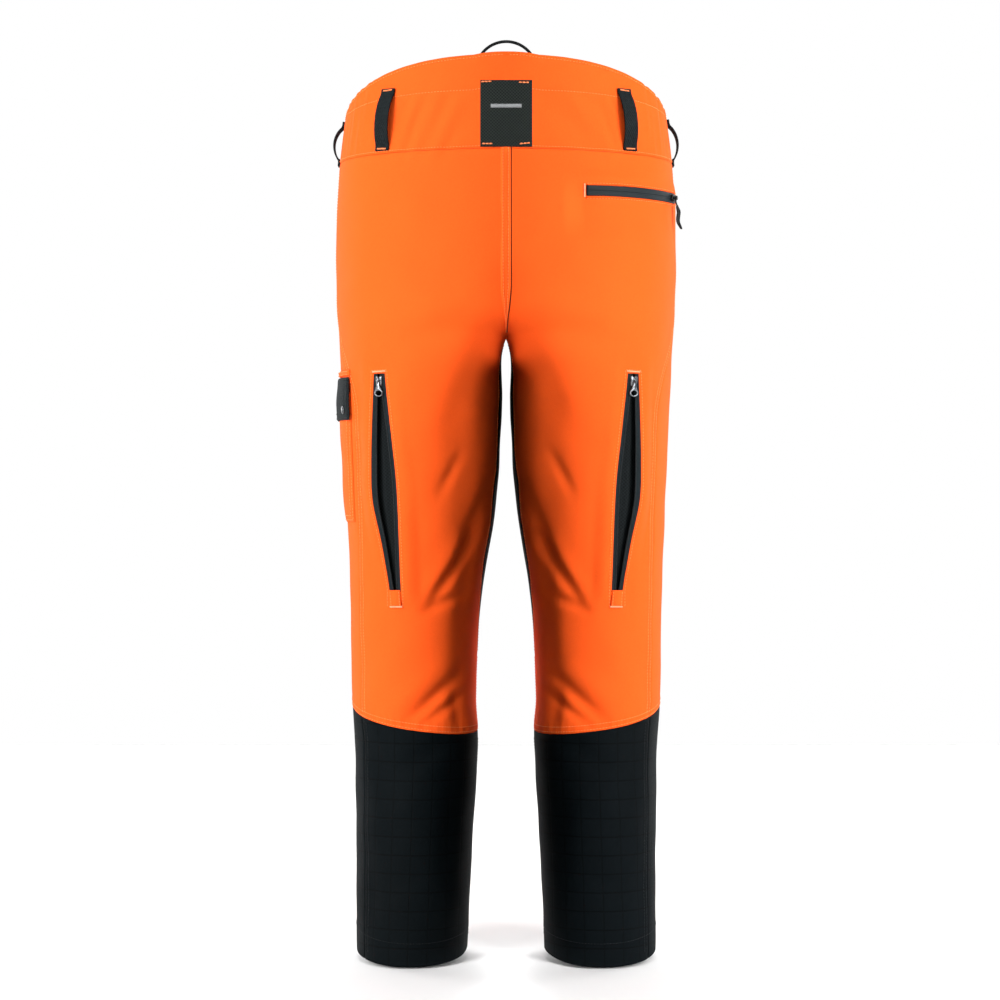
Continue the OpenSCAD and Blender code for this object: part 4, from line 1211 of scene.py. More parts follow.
tabs = Soup()
tab_stitches = Soup()
for s in (-1, 1):
    x = s * HANGER_SPAN / 2
    z = np.linspace(HANGER_FOOT - 4, HANGER_FOOT + 12, 14)
    centre = np.stack([np.full(14, x), np.full(14, HANGER_Y + 2.9) + 0.15 * np.sin(z), z], -1)
    tabs.add(*sweep(centre, np.broadcast_to([-1.0, 0, 0], centre.shape),
                    np.broadcast_to([0, 1.0, 0], centre.shape),
                    flat_profile(15.4, -0.7, 0.6)))
    for at in (HANGER_FOOT - 2.4, HANGER_FOOT + 10.2):
        line = np.stack([np.linspace(x - 6.6, x + 6.6, 6), np.full(6, HANGER_Y + 3.7), np.full(6, at)], -1)
        stitch_line(tab_stitches, line, np.broadcast_to([0, 1.0, 0], line.shape))
place(tabs.build("hanger_tab_cloth", [facing_cloth]), "garment", "webbing", "hanger_tab")
place(tab_stitches.build("hanger_tab_stitches", [thread_black]), "garment", "webbing")


# ---------------------------------------------------------------- zips

def extruded(outline, hole, thickness, bevel, frame_of):
    """Flat plate with an optional hole, its edges bevelled, placed by a frame (origin, x, y, z)."""
    outline = np.asarray(outline, float)
    n = len(outline)
    points, faces = [], []
    levels = [(-thickness / 2, bevel), (-thickness / 2 + bevel, 0.0), (thickness / 2 - bevel, 0.0),
              (thickness / 2, bevel)]

    def shrunk(loop, amount, outward):
        before, after = np.roll(loop, 1, axis=0), np.roll(loop, -1, axis=0)
        tangent = unit(after - before)
        normal = np.stack([tangent[:, 1], -tangent[:, 0]], -1)
        return loop - normal * amount * (1 if outward else -1)

    for z, b in levels:
        points.extend([(x, y, z) for x, y in shrunk(outline, b, True)])
    for level in range(3):
        for k in range(n):
            m = (k + 1) % n
            faces.append((level * n + k, level * n + m, (level + 1) * n + m, (level + 1) * n + k))
    if hole is None:
        faces.append(tuple(range(n - 1, -1, -1)))
        faces.append(tuple(3 * n + k for k in range(n)))
    else:
        hole = np.asarray(hole, float)
        base = len(points)
        for z, b in levels:
            points.extend([(x, y, z) for x, y in shrunk(hole, b, False)])
        for level in range(3):
            for k in range(n):
                m = (k + 1) % n
                faces.append((base + level * n + m, base + level * n + k, base + (level + 1) * n + k,
                              base + (level + 1) * n + m))
        for k in range(n):
            m = (k + 1) % n
            faces.append((m, k, base + k, base + m))
            faces.append((3 * n + k, 3 * n + m, base + 3 * n + m, base + 3 * n + k))
    origin, x, y, z = frame_of
    p = np.asarray(points)
    return origin + p[:, :1] * x + p[:, 1:2] * y + p[:, 2:3] * z, faces


def rounded_outline(corners, r, steps=5):
    """Counter-clockwise outline with rounded corners."""
    corners = np.asarray(corners, float)
    out = []
    for k in range(len(corners)):
        a, b, c = corners[k - 1], corners[k], corners[(k + 1) % len(corners)]
        u, v = unit(a - b), unit(c - b)
        half = math.acos(np.clip(np.dot(u, v), -1, 1)) / 2
        d = min(r / math.tan(half), 0.48 * np.linalg.norm(a - b), 0.48 * np.linalg.norm(c - b))
        start, end = b + u * d, b + v * d
        for s in np.linspace(0, 1, steps):
            out.append((1 - s) ** 2 * start + 2 * s * (1 - s) * b + s**2 * end)
    return np.array(out)


SLIDER_W = 9.6
SLIDER_L = 12.6
PLATE_T = 1.2
EYE_R = 1.8
BRIDGE_H = PLATE_T + EYE_R + 0.2
STAND_OFF = 0.3
CHAIN_H = 1.6
PULL_L = 20.0


def slider(node, sign, frame_of, gap):
    """Slider: a waisted plate with turned-down cheeks, a plate below where it is open, and a bridge."""
    origin, x, y, z = (np.asarray(v, float) for v in frame_of)
    soup = Soup(sign)
    plate = rounded_outline([(-3.4, -SLIDER_L), (3.4, -SLIDER_L), (SLIDER_W / 2, -7.2), (SLIDER_W / 2, -0.9),
                             (2.6, 0.0), (0, -1.7), (-2.6, 0.0), (-SLIDER_W / 2, -0.9),
                             (-SLIDER_W / 2, -7.2)], 1.3)
    soup.add(*extruded(plate, None, PLATE_T, 0.3, (origin + (gap + PLATE_T / 2) * z, x, y, z)))
    if gap > 0:
        for s in (-1, 1):
            cheek = rounded_outline([(-0.8, -SLIDER_L + 1.2), (0.8, -SLIDER_L + 1.2), (0.9, -1.6),
                                     (-0.9, -1.6)], 0.6)
            soup.add(*extruded(cheek, None, gap - 0.05, 0.2,
                               (origin + s * (SLIDER_W / 2 - 0.95) * x + (gap / 2 + 0.2) * z, x, y, z)))
    else:
        soup.add(*extruded(plate, None, 1.0, 0.25, (origin - (TAPE_T + 2 * STAND_OFF + 0.5) * z, x, y, z)))
        post = rounded_outline([(-0.7, -9.2), (0.7, -9.2), (0.7, -3.2), (-0.7, -3.2)], 0.5)
        soup.add(*extruded(post, None, TAPE_T + 2 * STAND_OFF, 0.1,
                           (origin - (TAPE_T / 2 + STAND_OFF) * z, x, y, z)))
    # The bridge is a strap that rises over the eye of the pull.
    s = np.linspace(0, math.pi, 15)
    span = 4.2
    path = (origin + (-SLIDER_L * 0.45 - span * np.cos(s))[:, None] * y
            + (gap + PLATE_T - 0.1 + (EYE_R + 1.9) * np.sin(s) ** 0.8)[:, None] * z)
    tangent = unit(np.gradient(path, axis=0))
    side = np.broadcast_to(x, path.shape)
    soup.add(*sweep(path, side, np.cross(side, tangent) * -1,
                    [(-0.55, -0.3), (0.55, -0.3), (0.8, 0.0), (0.55, 0.35),
                                                                (-0.55, 0.35), (-0.8, 0.0)]))
    return place(soup.build(f"{node}_metal", [slider_metal]), node, "zip_metal", node)


def zip_pull(node, sign, frame_of, gap):
    """Pull: an eye round the bridge, a neck, and an open oval ring."""
    origin, x, y, z = (np.asarray(v, float) for v in frame_of)
    at = origin - SLIDER_L * 0.45 * y + (BRIDGE_H + gap) * z
    soup = Soup(sign)

    def oval(cy, rx, ry, count=28):
        a = np.linspace(0, 2 * math.pi, count, endpoint=False)
        return np.stack([rx * np.cos(a), cy + ry * np.sin(a)], -1)

    angle = np.linspace(0, 2 * math.pi, 28, endpoint=False)
    blade = np.stack([6.0 * np.cos(angle), -PULL_L + 4.9 + 4.9 * np.sin(angle)], -1)
    waist = np.exp(-((np.degrees(angle) - 90) / 26) ** 2)
    blade[:, 0] *= 1 - 0.25 * waist
    blade[:, 1] += 2.6 * waist
    soup.add(*extruded(blade, oval(-PULL_L + 4.6, 4.2, 3.1), 1.5, 0.35, (at, x, y, z)))
    neck = rounded_outline([(-4.2, -11.6), (4.2, -11.6), (2.4, -6.4), (1.9, -1.0), (-1.9, -1.0),
                            (-2.4, -6.4)], 0.9)
    soup.add(*extruded(neck, None, 1.4, 0.3, (at, x, y, z)))
    a = np.linspace(0, 2 * math.pi, 18)[:-1]
    ring = at + (1.25 * np.cos(a))[:, None] * y + (1.25 * np.sin(a))[:, None] * z
    for s in (-1, 1):
        path = np.concatenate([ring, ring[:1]]) + s * 1.15 * x
        tangent = unit(np.gradient(path, axis=0))
        soup.add(*sweep(path, np.broadcast_to(x, path.shape),
                        np.cross(np.broadcast_to(x, path.shape), tangent),
                        [(-0.45, -0.4), (0.45, -0.4), (0.45, 0.4), (-0.45, 0.4)], close_ends=True))
    return place(soup.build(f"{node}_metal", [slider_metal]), node, "zip_metal", node)


def box_shape(w, l, h):
    """Small block with chamfered top, for zip teeth."""
    points, b = [], 0.28
    for z, k in ((0.0, 0.0), (h - b, 0.0), (h, b)):
        points += [(-w / 2 + k, -l / 2 + k, z), (w / 2 - k, -l / 2 + k, z), (w / 2 - k, l / 2 - k, z),
                   (-w / 2 + k, l / 2 - k, z)]
    faces = [(3, 2, 1, 0), (8, 9, 10, 11)]
    for level in (0, 4):
        for k in range(4):
            n = (k + 1) % 4
            faces.append((level + k, level + n, level + 4 + n, level + 4 + k))
    return np.array(points), faces


# Open thigh vents: tapes with coils along their free edges, mesh behind, stitched welts, tacks.
TAPE_W = 6.0
PLACKET_L = 20.0


VENT_STITCH_GAP = 3.2  # from the edge of the opening


def vent_pieces(sign, side):
    tapes, coils = Soup(sign), Soup(sign)
    s = np.linspace(-3, vent.length + 1, 120)
    for edge, d in ((VENT_OUTER, -1.0), (VENT_INNER, 1.0)):
        free = vent_edge(edge, s) + d * TAPE_W
        middle = free - d * (TAPE_W + 3) / 2
        path = vent.point(middle, -s, np.zeros_like(s))
        side_axis = unit(np.cross(np.gradient(path, axis=0), vent.out)) * -1
        tapes.add(*sweep(path, -side_axis, np.broadcast_to(vent.out, path.shape),
                         flat_profile(TAPE_W + 3, -0.6, 0.55, ribs=5, rib=0.1)))
        steps = np.arange(2, vent.length - 1, 1.5)
        x = vent_edge(edge, steps) + d * (TAPE_W - 0.5)
        origin = vent.point(x, -steps, np.full_like(steps, -0.5))
        spread = np.ones((len(steps), 1))
        coils.copies(box_shape(2.3, 0.95, 1.7), origin, spread * vent.across, spread * vent.up,
                     spread * vent.out)
    place(tapes.build(f"vent_tapes_{side}_cloth", [tape_cloth]), "garment", "zip_tape", f"vent_tapes_{side}")
    place(coils.build(f"vent_coils_{side}", [coil]), "garment", "zip_tape")

    # Mesh bellows: a folded gusset that hangs slack behind the opening.
    s = np.linspace(0, vent.length, 100)
    f = np.linspace(0, 1, 25)
    low = vent_edge(VENT_INNER, s)[:, None] - 6
    high = vent_edge(VENT_OUTER, s)[:, None] + 6
    x = low + (high - low) * f
    open_width = (high - low - 12) / 24
    drop = 2.4 + (2.2 + 3.6 * open_width) * np.sin(np.pi * f)[None] ** 0.7
    drop = drop + 0.9 * open_width * np.cos(2 * np.pi * 2.5 * f + 0.25 * np.sin(s / 40)[:, None])
    sheet = vent.point(x, -np.broadcast_to(s[:, None], x.shape), -drop)
    below = vent.point(x, -np.broadcast_to(s[:, None], x.shape), -drop - 0.7)
    points, faces, uv = layer(sheet, below, x, s[:, None], sign)
    mesh = new_object(f"vent_mesh_{side}_cloth", points, faces, [mesh_cloth], uv)
    place(mesh, "garment", "mesh", f"vent_mesh_{side}")

    # Topstitching round the opening, and down both sides of the closed end below it.
    stitches = Soup(sign)
    for label, away in (("outer", 1.0), ("inner", -1.0)):
        z = np.linspace(VENT_Z[0] - PLACKET_L, VENT_Z[1] + 5, 130)
        t = vent_angle(label, z) + away * VENT_STITCH_GAP / ARC_SPEED
        stitch_on_cloth(stitches, z, t, sign)
    z = np.full(8, VENT_Z[1] + 5.0)
    t = np.linspace(float(vent_angle("inner", VENT_Z[1])) - 1.8, float(vent_angle("outer", VENT_Z[1])) + 1.8,
                    8)
    stitch_on_cloth(stitches, z, t, sign)
    place(stitches.build(f"vent_stitches_{side}", [thread_orange]), "garment", "shell_fabric")

    tacks = Soup(sign)
    for part, (centre_y, width) in (("top", (3.4, 19.0)), ("foot", (-vent.length - PLACKET_L + 0.5, 17.0))):
        x = np.linspace(-width / 2, width / 2, 9)
        p = vent.point(x, np.full(9, centre_y), np.zeros(9))
        on_cloth, n = cloth(p[:, 2], -angle_at(p[:, 2], p[:, 0]), sign, 0.0)
        bar_tack(tacks, on_cloth[4], unit(on_cloth[-1] - on_cloth[0]), n[4], width, width=2.3, pitch=0.8,
                 lift=0.9 if part == "top" else 3.2)
    place(tacks.build(f"vent_tacks_{side}", [thread_pale]), "garment", "shell_fabric")


placket = Soup()
placket_stitches = Soup()
for sign, side in SIDE_NAMES:
    vent_pieces(sign, side)
    placket.sign = placket_stitches.sign = sign
    y = -vent.length - np.linspace(-1.5, PLACKET_L, 12)
    path = vent.point(np.zeros(12), y, 1.6 + 0.5 * smooth((-y - vent.length) / 4))
    placket.add(*sweep(path, np.broadcast_to(-vent.across, path.shape), np.broadcast_to(vent.out, path.shape),
                       flat_profile(15.6, -0.6, 0.7, r=0.5)))
    for x in (-6.2, 6.2):
        line = vent.point(np.full(8, x), np.linspace(-vent.length, -vent.length - PLACKET_L + 1.5, 8),
                          np.full(8, 2.9))
        stitch_line(placket_stitches, line, np.broadcast_to(vent.out, line.shape))
    frame_of = (vent.point(0, -2, TAPE_T / 2 + STAND_OFF), vent.across, vent.up, vent.out)
    slider(f"vent_slider_{side}", sign, frame_of, 0.0)
    zip_pull(f"vent_pull_{side}", sign, frame_of, 0.0)
place(placket.build("vent_plackets_cloth", [orange_cloth]), "garment", "shell_fabric", "vent_plackets")
place(placket_stitches.build("vent_placket_stitches", [thread_orange]), "garment", "shell_fabric")


# Closed coil zip lying along a path: two tapes, the coil between them, and end stops.
def closed_zip(tape_soup, coil_soup, path, across, normal, width, tape_z, chain_w=4.6, chain_h=1.3,
               inset=3.0):
    path, across, normal = (np.asarray(v, float) for v in (path, across, normal))
    tape_soup.add(*sweep(path, across, normal,
                         flat_profile(width, tape_z - TAPE_T + 0.1, tape_z, ribs=9, rib=0.08)))
    at, along, (side, up), _ = resample(path, [across, normal], 1.15)
    side, up = unit(side), unit(up)
    length = np.linalg.norm(np.diff(path, axis=0), axis=1).sum()
    s = (np.arange(len(at)) + 0.5) * length / len(at)
    keep = (s > inset) & (s < length - inset)
    shape = box_shape(2.5, 0.8, chain_h)
    for d in (-1, 1):
        origin = at + side * d * 1.1 + along * (0.28 if d > 0 else -0.28) + up * tape_z
        coil_soup.copies(shape, origin[keep], side[keep], along[keep], up[keep])
    for end in (int(np.argmax(keep)), len(keep) - 1 - int(np.argmax(keep[::-1]))):
        coil_soup.copies(box_shape(chain_w + 0.8, 2.2, chain_h + 0.1),
                         at[end:end + 1] + up[end:end + 1] * tape_z,
                         side[end:end + 1], along[end:end + 1], up[end:end + 1])


# ---------------------------------------------------------------- hip pocket on the wearer's right

ZIP_W = 13.0


def hip_ring(angles, radius, z):
    a = np.radians(np.asarray(angles, float))
    outward = np.stack([np.cos(a), np.sin(a), 0 * a], -1)
    p = outward * np.asarray(radius, float)[..., None]
    p[..., 0] += HIP_AXIS[0]
    p[..., 1] += HIP_AXIS[1]
    p[..., 2] = z
    return p, outward


def hip_cloth(angles, z, lift):
    """Points of the cloth straight behind places on the hip zip."""
    ring, _ = hip_ring(angles, np.full(len(angles), HIP_R), z)
    t = np.full(len(angles), -40.0)
    for _ in range(12):
        p = skin(ring[:, 2], t)
        a = np.degrees(np.arctan2(p[:, 1] - HIP_AXIS[1], p[:, 0] - HIP_AXIS[0]))
        t = t + (np.asarray(angles) - a) * 0.8
    return cloth(ring[:, 2], t, 1, lift), t


angles = np.linspace(HIP_FROM, HIP_TO + 0.5, 60)
ring, outward = hip_ring(angles, np.full(60, HIP_TAPE_R), HIP_Z)
vertical = np.broadcast_to(np.array([0, 0, 1.0]), ring.shape)
hip_tape = Soup()
lip = [(-0.1, 0.45), (0.35, 1.0), (2.0, 1.12), (2.25, 0.92), (2.5, 1.1), (4.2, 1.06), (4.45, 0.86),
       (4.7, 1.02), (6.1, 0.85), (6.45, 0.4), (6.45, -0.9), (-0.1, -0.9)]
hip_tape.add(*sweep(ring, vertical, outward, lip[::-1]))
hip_tape.add(*sweep(ring, vertical, outward, [(-x, h) for x, h in lip]))
place(hip_tape.build("hip_zip_tape_coated", [coated_tape]), "garment", "zip_tape", "hip_zip_tape")

hip_stitches, hip_welt = Soup(), Soup()
for z_off in (-8.8, 8.8):
    (p, n), _ = hip_cloth(angles, HIP_Z + z_off, 0.25)
    stitch_line(hip_stitches, p, n)
    (p, n), _ = hip_cloth(angles, HIP_Z + z_off * 0.84, 0.2)
    hip_welt.add(*sweep(p, vertical, n,
                        [(-0.9, -0.8), (-0.7, 0.7), (0.0, 1.05), (0.7, 0.7), (0.9, -0.8)][::-1]))
place(hip_stitches.build("hip_zip_stitches", [thread_orange]), "garment", "shell_fabric")
place(hip_welt.build("hip_zip_welt", [orange_cloth]), "garment", "shell_fabric")
hip_tacks = Soup()
for a in (HIP_FROM - 1.0, HIP_TO + 1.6):
    ring_end, out_end = hip_ring([a], np.array([HIP_TAPE_R + 0.9]), HIP_Z)
    bar_tack(hip_tacks, ring_end[0], np.array([0, 0, 1.0]), out_end[0], 17.5, width=2.3, pitch=0.8)
place(hip_tacks.build("hip_zip_tacks", [thread_pale]), "garment", "shell_fabric")

a = math.radians(HIP_TO - 1.0)
radial = np.array([math.cos(a), math.sin(a), 0.0])
tangent = np.array([-math.sin(a), math.cos(a), 0.0])
hip_origin = np.array([HIP_AXIS[0], HIP_AXIS[1], HIP_Z]) + radial * (HIP_TAPE_R + STAND_OFF)
down = np.array([0.0, 0.0, -1.0])
HIP_PLATE_Z = 0.4 + CHAIN_H + STAND_OFF + PLATE_T
hip_slider = Soup()
plate = rounded_outline([(-3.4, -SLIDER_L), (3.4, -SLIDER_L), (SLIDER_W / 2, -7.2), (SLIDER_W / 2, -0.9),
                         (2.6, 0.0), (-2.6, 0.0), (-SLIDER_W / 2, -0.9), (-SLIDER_W / 2, -7.2)], 1.3)
hip_slider.add(*extruded(plate, None, 2.0, 0.45,
                         (hip_origin + (HIP_PLATE_Z - 1.0) * radial, down, tangent, radial)))
circle = np.stack([np.cos(np.linspace(0, 2 * math.pi, 20, endpoint=False)),
                   np.sin(np.linspace(0, 2 * math.pi, 20, endpoint=False))], -1)
middle = hip_origin - SLIDER_L / 2 * tangent
hip_slider.add(*extruded(circle * 1.6, None, 3.8, 0.15,
                         (middle + (HIP_PLATE_Z + 1.8) * radial, down, tangent, radial)))
hip_slider.add(*extruded(circle * 2.8, None, 0.9, 0.3,
                         (middle + (HIP_PLATE_Z + 3.85) * radial, down, tangent, radial)))
place(hip_slider.build("hip_slider_metal", [pull_rubber]), "hip_slider", "zip_metal", "hip_slider")

# Cord pull: a small loop of cord round the post, then a ribbed soft grip that hangs slightly bent.
grip_from = middle + (HIP_PLATE_Z + 1.8) * radial
hip_pull = Soup()
loop_angle = np.linspace(math.radians(35), math.radians(325), 30)
loop = grip_from + 2.95 * (np.cos(loop_angle)[:, None] * down + np.sin(loop_angle)[:, None] * tangent)
hip_pull.add(*tube(loop, 0.75, sides=10))
for s in (-1, 1):
    cord_path = np.stack([grip_from + down * (2.3 + 8 * k) + radial * 2.4 * k * k
                          + tangent * s * (1.75 - 0.9 * k)
                          for k in np.linspace(0, 1, 8)])
    hip_pull.add(*tube(cord_path, 0.75, sides=10))
start = grip_from + 9.0 * down
s = np.linspace(0, 31.4, 70)
stands_off = 2.2 + 2.2 * smooth(s / 10) - 1.0 * smooth((s - 9) / 10) + 5.0 * smooth((s - 20) / 14)
centre = start + s[:, None] * down + stands_off[:, None] * radial
half_width = np.interp(s, [0, 1.2, 4, 17, 26, 30.6, 31.4], [1.2, 1.9, 2.7, 2.8, 2.4, 1.7, 0.9])
half_depth = np.interp(s, [0, 1.2, 4, 26, 30.6, 31.4], [0.8, 1.2, 1.6, 1.45, 1.1, 0.6])
ribs = np.where((s > 7) & (s < 24), 0.16 * np.cos(2 * math.pi * s / 2.4), 0.0)
around = np.linspace(0, 2 * math.pi, 20, endpoint=False)
twist = math.radians(35.0) * smooth(s / 9)
wide = np.cos(twist)[:, None] * tangent + np.sin(twist)[:, None] * radial
thick_way = np.cos(twist)[:, None] * radial - np.sin(twist)[:, None] * tangent
cosine, sine = bent(np.cos(around), 0.7), bent(np.sin(around), 0.7)
grip = (centre[:, None] + ((half_width + ribs)[:, None] * cosine)[..., None] * wide[:, None]
        + ((half_depth + ribs)[:, None] * sine)[..., None] * thick_way[:, None])
faces = grid_quads(70, 20, wrap=True, flip=True).tolist()
faces += [tuple(range(20)), tuple(69 * 20 + k for k in range(19, -1, -1))]
hip_pull.add(grip.reshape(-1, 3), faces)
place(hip_pull.build("hip_pull_grip", [pull_rubber]), "hip_pull", "pull_rubber", "hip_pull")


# ---------------------------------------------------------------- seams

orange_stitches, black_stitches = {}, {}
for sign, side in SIDE_NAMES:
    orange_stitches[side] = Soup(sign)
    black_stitches[side] = Soup(sign)

# Felled seam down the middle of the back, laid over to the left, with two rows of stitches.
seam_stitches = Soup()
z = np.linspace(CROTCH_Z + 6, WAIST_Z + 1, 110)
lean = smooth((z - CROTCH_Z) / 60)
left_x = -6.2 * lean - 0.6
right_x = 5.4 * lean + 0.6
cells = []
for f in np.linspace(0, 1, 9):
    x = left_x + (right_x - left_x) * f
    rise = 0.15 + 0.95 * min(1.0, f * 3.0) if f < 1 else -0.6
    cells.append(at_back(z, x, rise)[0])
top_side = np.stack(cells, axis=1)
under = np.stack([at_back(z, left_x + (right_x - left_x) * f, -0.7)[0] for f in np.linspace(0, 1, 9)], axis=1)
points, faces, uv = layer(top_side, under, np.linspace(-6, 6, 9)[None], z[:, None])
# A thin black strip beside the felled cloth is a painted shadow: it stands for the shadow line along the
# felled edge.
seam_shadow_path = at_back(z, right_x + 0.35, 0.1)
seam_shadow_strip = Soup()
seam_shadow_strip.add(*sweep(seam_shadow_path[0], unit(np.cross(np.gradient(seam_shadow_path[0], axis=0), seam_shadow_path[1])),
                     seam_shadow_path[1], [(-0.55, -0.5), (-0.55, 0.35), (0.55, 0.35), (0.55, -0.5)][::-1]))
place(seam_shadow_strip.build("back_seam_painted_shadow", [gusset_cloth]), "garment", "shell_fabric")
back_seam = new_object("back_seam_felled", points, faces, [orange_cloth], uv)
place(back_seam, "garment", "shell_fabric")
for f in (0.22, 0.72):
    p, n = at_back(z, left_x + (right_x - left_x) * f, 1.35)
    stitch_line(seam_stitches, p, n)
place(seam_stitches.build("back_seam_stitches", [thread_orange]), "garment", "shell_fabric")


def side_path(z, away):
    """Heights and angles beside the side seam, a distance behind it."""
    t = side_angle(z)
    return offset_path(z, t, away)


for sign, side in SIDE_NAMES:
    stitches, dark = orange_stitches[side], black_stitches[side]
    z = np.linspace(318, WAIST_Z - 4, 240)
    for away in (2.4, 8.2):
        zz, tt = side_path(z, away)
        stitch_on_cloth(stitches, zz, tt, sign)
    z = np.linspace(14, 305, 110)
    for away in (2.4, 8.2):
        zz, tt = side_path(z, away)
        stitch_on_cloth(dark, zz, tt, sign)
    # Along the knee seam, on the thigh side, and round the hem.
    for rise in (2.6, 8.6):
        t = np.linspace(-179, 179, 260)
        stitch_on_cloth(stitches, row(KNEE_Z + rise, t), t, sign)
    t = np.linspace(-179, 179, 260)
    stitch_on_cloth(dark, row(30.0, t), t, sign)
    # Along the waistband: above its seam, below its upper edge, and across its middle at the back.
    t = np.linspace(-89.5, 88, 170)
    stitch_on_cloth(stitches, waist_seam(t) + 3.0, t, sign, lift=0.3)
    stitch_on_cloth(stitches, band_top(t) - 4.5, t, sign, lift=0.3)
    t = np.linspace(-89.5, 88, 170)
    lower_row = np.where(t < 0, band_top(t) - 42 * np.sin(-np.radians(np.minimum(t, 0))) - 4, band_top(t) - 8)
    stitch_on_cloth(stitches, lower_row[t < -12], t[t < -12], sign, lift=0.3)
    # Both sides of the inner-leg gusset.
    z = np.linspace(GUSSET_LOW + 6, CROTCH_Z - 6, 120)
    for t_sign in (-1, 1):
        t = t_sign * (180 - gusset_half(z) - 2.2)
        stitch_on_cloth(stitches, row(z, t), t, sign)
    # The inner leg below the gusset, and a short row up the front beside the middle.
    z = np.linspace(312, GUSSET_LOW, 26)
    stitch_on_cloth(stitches, row(z, np.full(26, 177.0)), np.full(26, 177.0), sign)
    z = np.linspace(14, 284, 90)
    stitch_on_cloth(dark, row(z, np.full(90, 176.5)), np.full(90, 176.5), sign)
    z = np.linspace(CROTCH_Z + 14, 884, 30)
    p_x = np.full(30, 4.2)
    p, n = at_front(z, p_x, 0.25)
    stitch_line(stitches, p, n)


# ---------------------------------------------------------------- thigh pocket on the wearer's left

POCKET_BACK, POCKET_FRONT = -31.0, 44.0
POCKET_LOW, POCKET_TOP = 562.0, 726.0
POCKET_PUFF = 3.0
FLAP_TOP, FLAP_LOW = 746.0, 692.0


def pocket_lift(z, t):
    u = np.clip((t - POCKET_BACK) / (POCKET_FRONT - POCKET_BACK), 0, 1)
    return 1.8 + POCKET_PUFF * (1 - (2 * u - 1) ** 4) * smooth((z - 553) / 60) * smooth((770 - z) / 80)


def left_surface(z, t, lift=0.0):
    return cloth(z, t, -1, lift)


def left_patch(name, z_values, t_values, high, low, materials, edge_round=1.2, uv_scale=ARC_SPEED):
    z, t = np.meshgrid(z_values, t_values, indexing="ij")
    edge = from_edge(z, t, uv_scale)
    lift = high(z, t)
    base = low(z, t)
    lift = base + (lift - base) * (1 - 0.75 * np.exp(-edge / edge_round))
    outer, inner = left_surface(z, t, lift)[0], left_surface(z, t, base)[0]
    points, faces, uv = layer(outer, inner, t * uv_scale, z, -1)
    return new_object(name, points, faces, materials, uv)


def edged(low, high, step, fine):
    """Even steps with two close ones at each end."""
    inner = np.linspace(low + 3 * fine, high - 3 * fine, max(2, int((high - low) / step)))
    return np.concatenate([[low, low + fine], inner, [high - fine, high]])


def pocket_wrinkles(z, t):
    return 0.7 * np.sin(z / 17.0 + t / 9.0) * smooth((z - 575) / 30) + 0.35 * np.sin(z / 7.0 - t / 5.0)


pocket = left_patch("thigh_pocket_cloth", edged(POCKET_LOW, POCKET_TOP, 3.0, 0.7),
                    edged(POCKET_BACK, POCKET_FRONT, 1.7, 0.4),
                    lambda z, t: pocket_lift(z, t) + 0.35 * pocket_wrinkles(z, t),
                    lambda z, t: 0.35 + 0 * z, [orange_cloth], edge_round=2.4)
place(pocket, "garment", "shell_fabric", "thigh_pocket")


def flap_lift(z, t):
    u = np.clip((t - POCKET_BACK + 2) / (POCKET_FRONT - POCKET_BACK + 5), 0, 1)
    v = (FLAP_TOP - z) / 54.0
    return 2.4 + (POCKET_PUFF + 0.6) * smooth(1.6 * v) * (1 - 0.5 * (2 * u - 1) ** 4)


flap = left_patch("thigh_flap_cloth", edged(FLAP_LOW, FLAP_TOP, 2.6, 0.6),
                  edged(POCKET_BACK - 2, POCKET_FRONT + 3, 1.5, 0.35),
                  lambda z, t: flap_lift(z, t) + 2.3, lambda z, t: flap_lift(z, t) + 0.2, [webbing_cloth],
                  edge_round=0.9)
place(flap, "thigh_flap", "black_trim", "thigh_flap")
binding = left_patch("flap_binding_cloth", edged(747.5, 755.0, 1.2, 0.4),
                     edged(POCKET_BACK - 2, POCKET_FRONT + 3, 1.5, 0.35),
                     lambda z, t: 3.0 + 0 * z, lambda z, t: 0.4 + 0 * z, [orange_cloth], edge_round=1.2)
place(binding, "garment", "shell_fabric", "flap_binding")
flap_stitches = Soup(-1)
for inset in (3.0, 9.0):
    corner_t = inset / ARC_SPEED
    t = np.concatenate([np.full(16, POCKET_BACK - 2 + corner_t),
                        np.linspace(POCKET_BACK - 2 + corner_t, POCKET_FRONT + 3 - corner_t, 60),
                        np.full(16, POCKET_FRONT + 3 - corner_t)])
    z = np.concatenate([np.linspace(FLAP_TOP - 2, FLAP_LOW + inset, 16), np.full(60, FLAP_LOW + inset),
                        np.linspace(FLAP_LOW + inset, FLAP_TOP - 2, 16)])
    p, n = left_surface(z, t, flap_lift(z, t) + 2.5)
    stitch_line(flap_stitches, p, n)
place(flap_stitches.build("thigh_flap_stitches", [thread_black]), "thigh_flap", "black_trim")
stitches = orange_stitches["left"]
for inset in (2.6, 8.4):
    corner_t = inset / ARC_SPEED
    t = np.concatenate([np.full(50, POCKET_BACK + corner_t),
                        np.linspace(POCKET_BACK + corner_t, POCKET_FRONT - corner_t, 50),
                        np.full(50, POCKET_FRONT - corner_t)])
    z = np.concatenate([np.linspace(FLAP_LOW + 4, POCKET_LOW + inset, 50), np.full(50, POCKET_LOW + inset),
                        np.linspace(POCKET_LOW + inset, FLAP_LOW + 4, 50)])
    lift = 0.35 + (pocket_lift(z, t) - 0.35) * (1 - 0.75 * math.exp(-inset / 2.4)) + 0.3
    p, n = left_surface(z, t, lift)
    stitch_line(stitches, p, n)
binding_stitches = Soup(-1)
for z_at in (749.4, 753.2):
    t = np.linspace(POCKET_BACK - 1, POCKET_FRONT + 2, 70)
    p, n = left_surface(np.full(70, z_at), t, 3.2)
    stitch_line(binding_stitches, p, n)
place(binding_stitches.build("flap_binding_stitches", [thread_orange]), "garment", "shell_fabric")
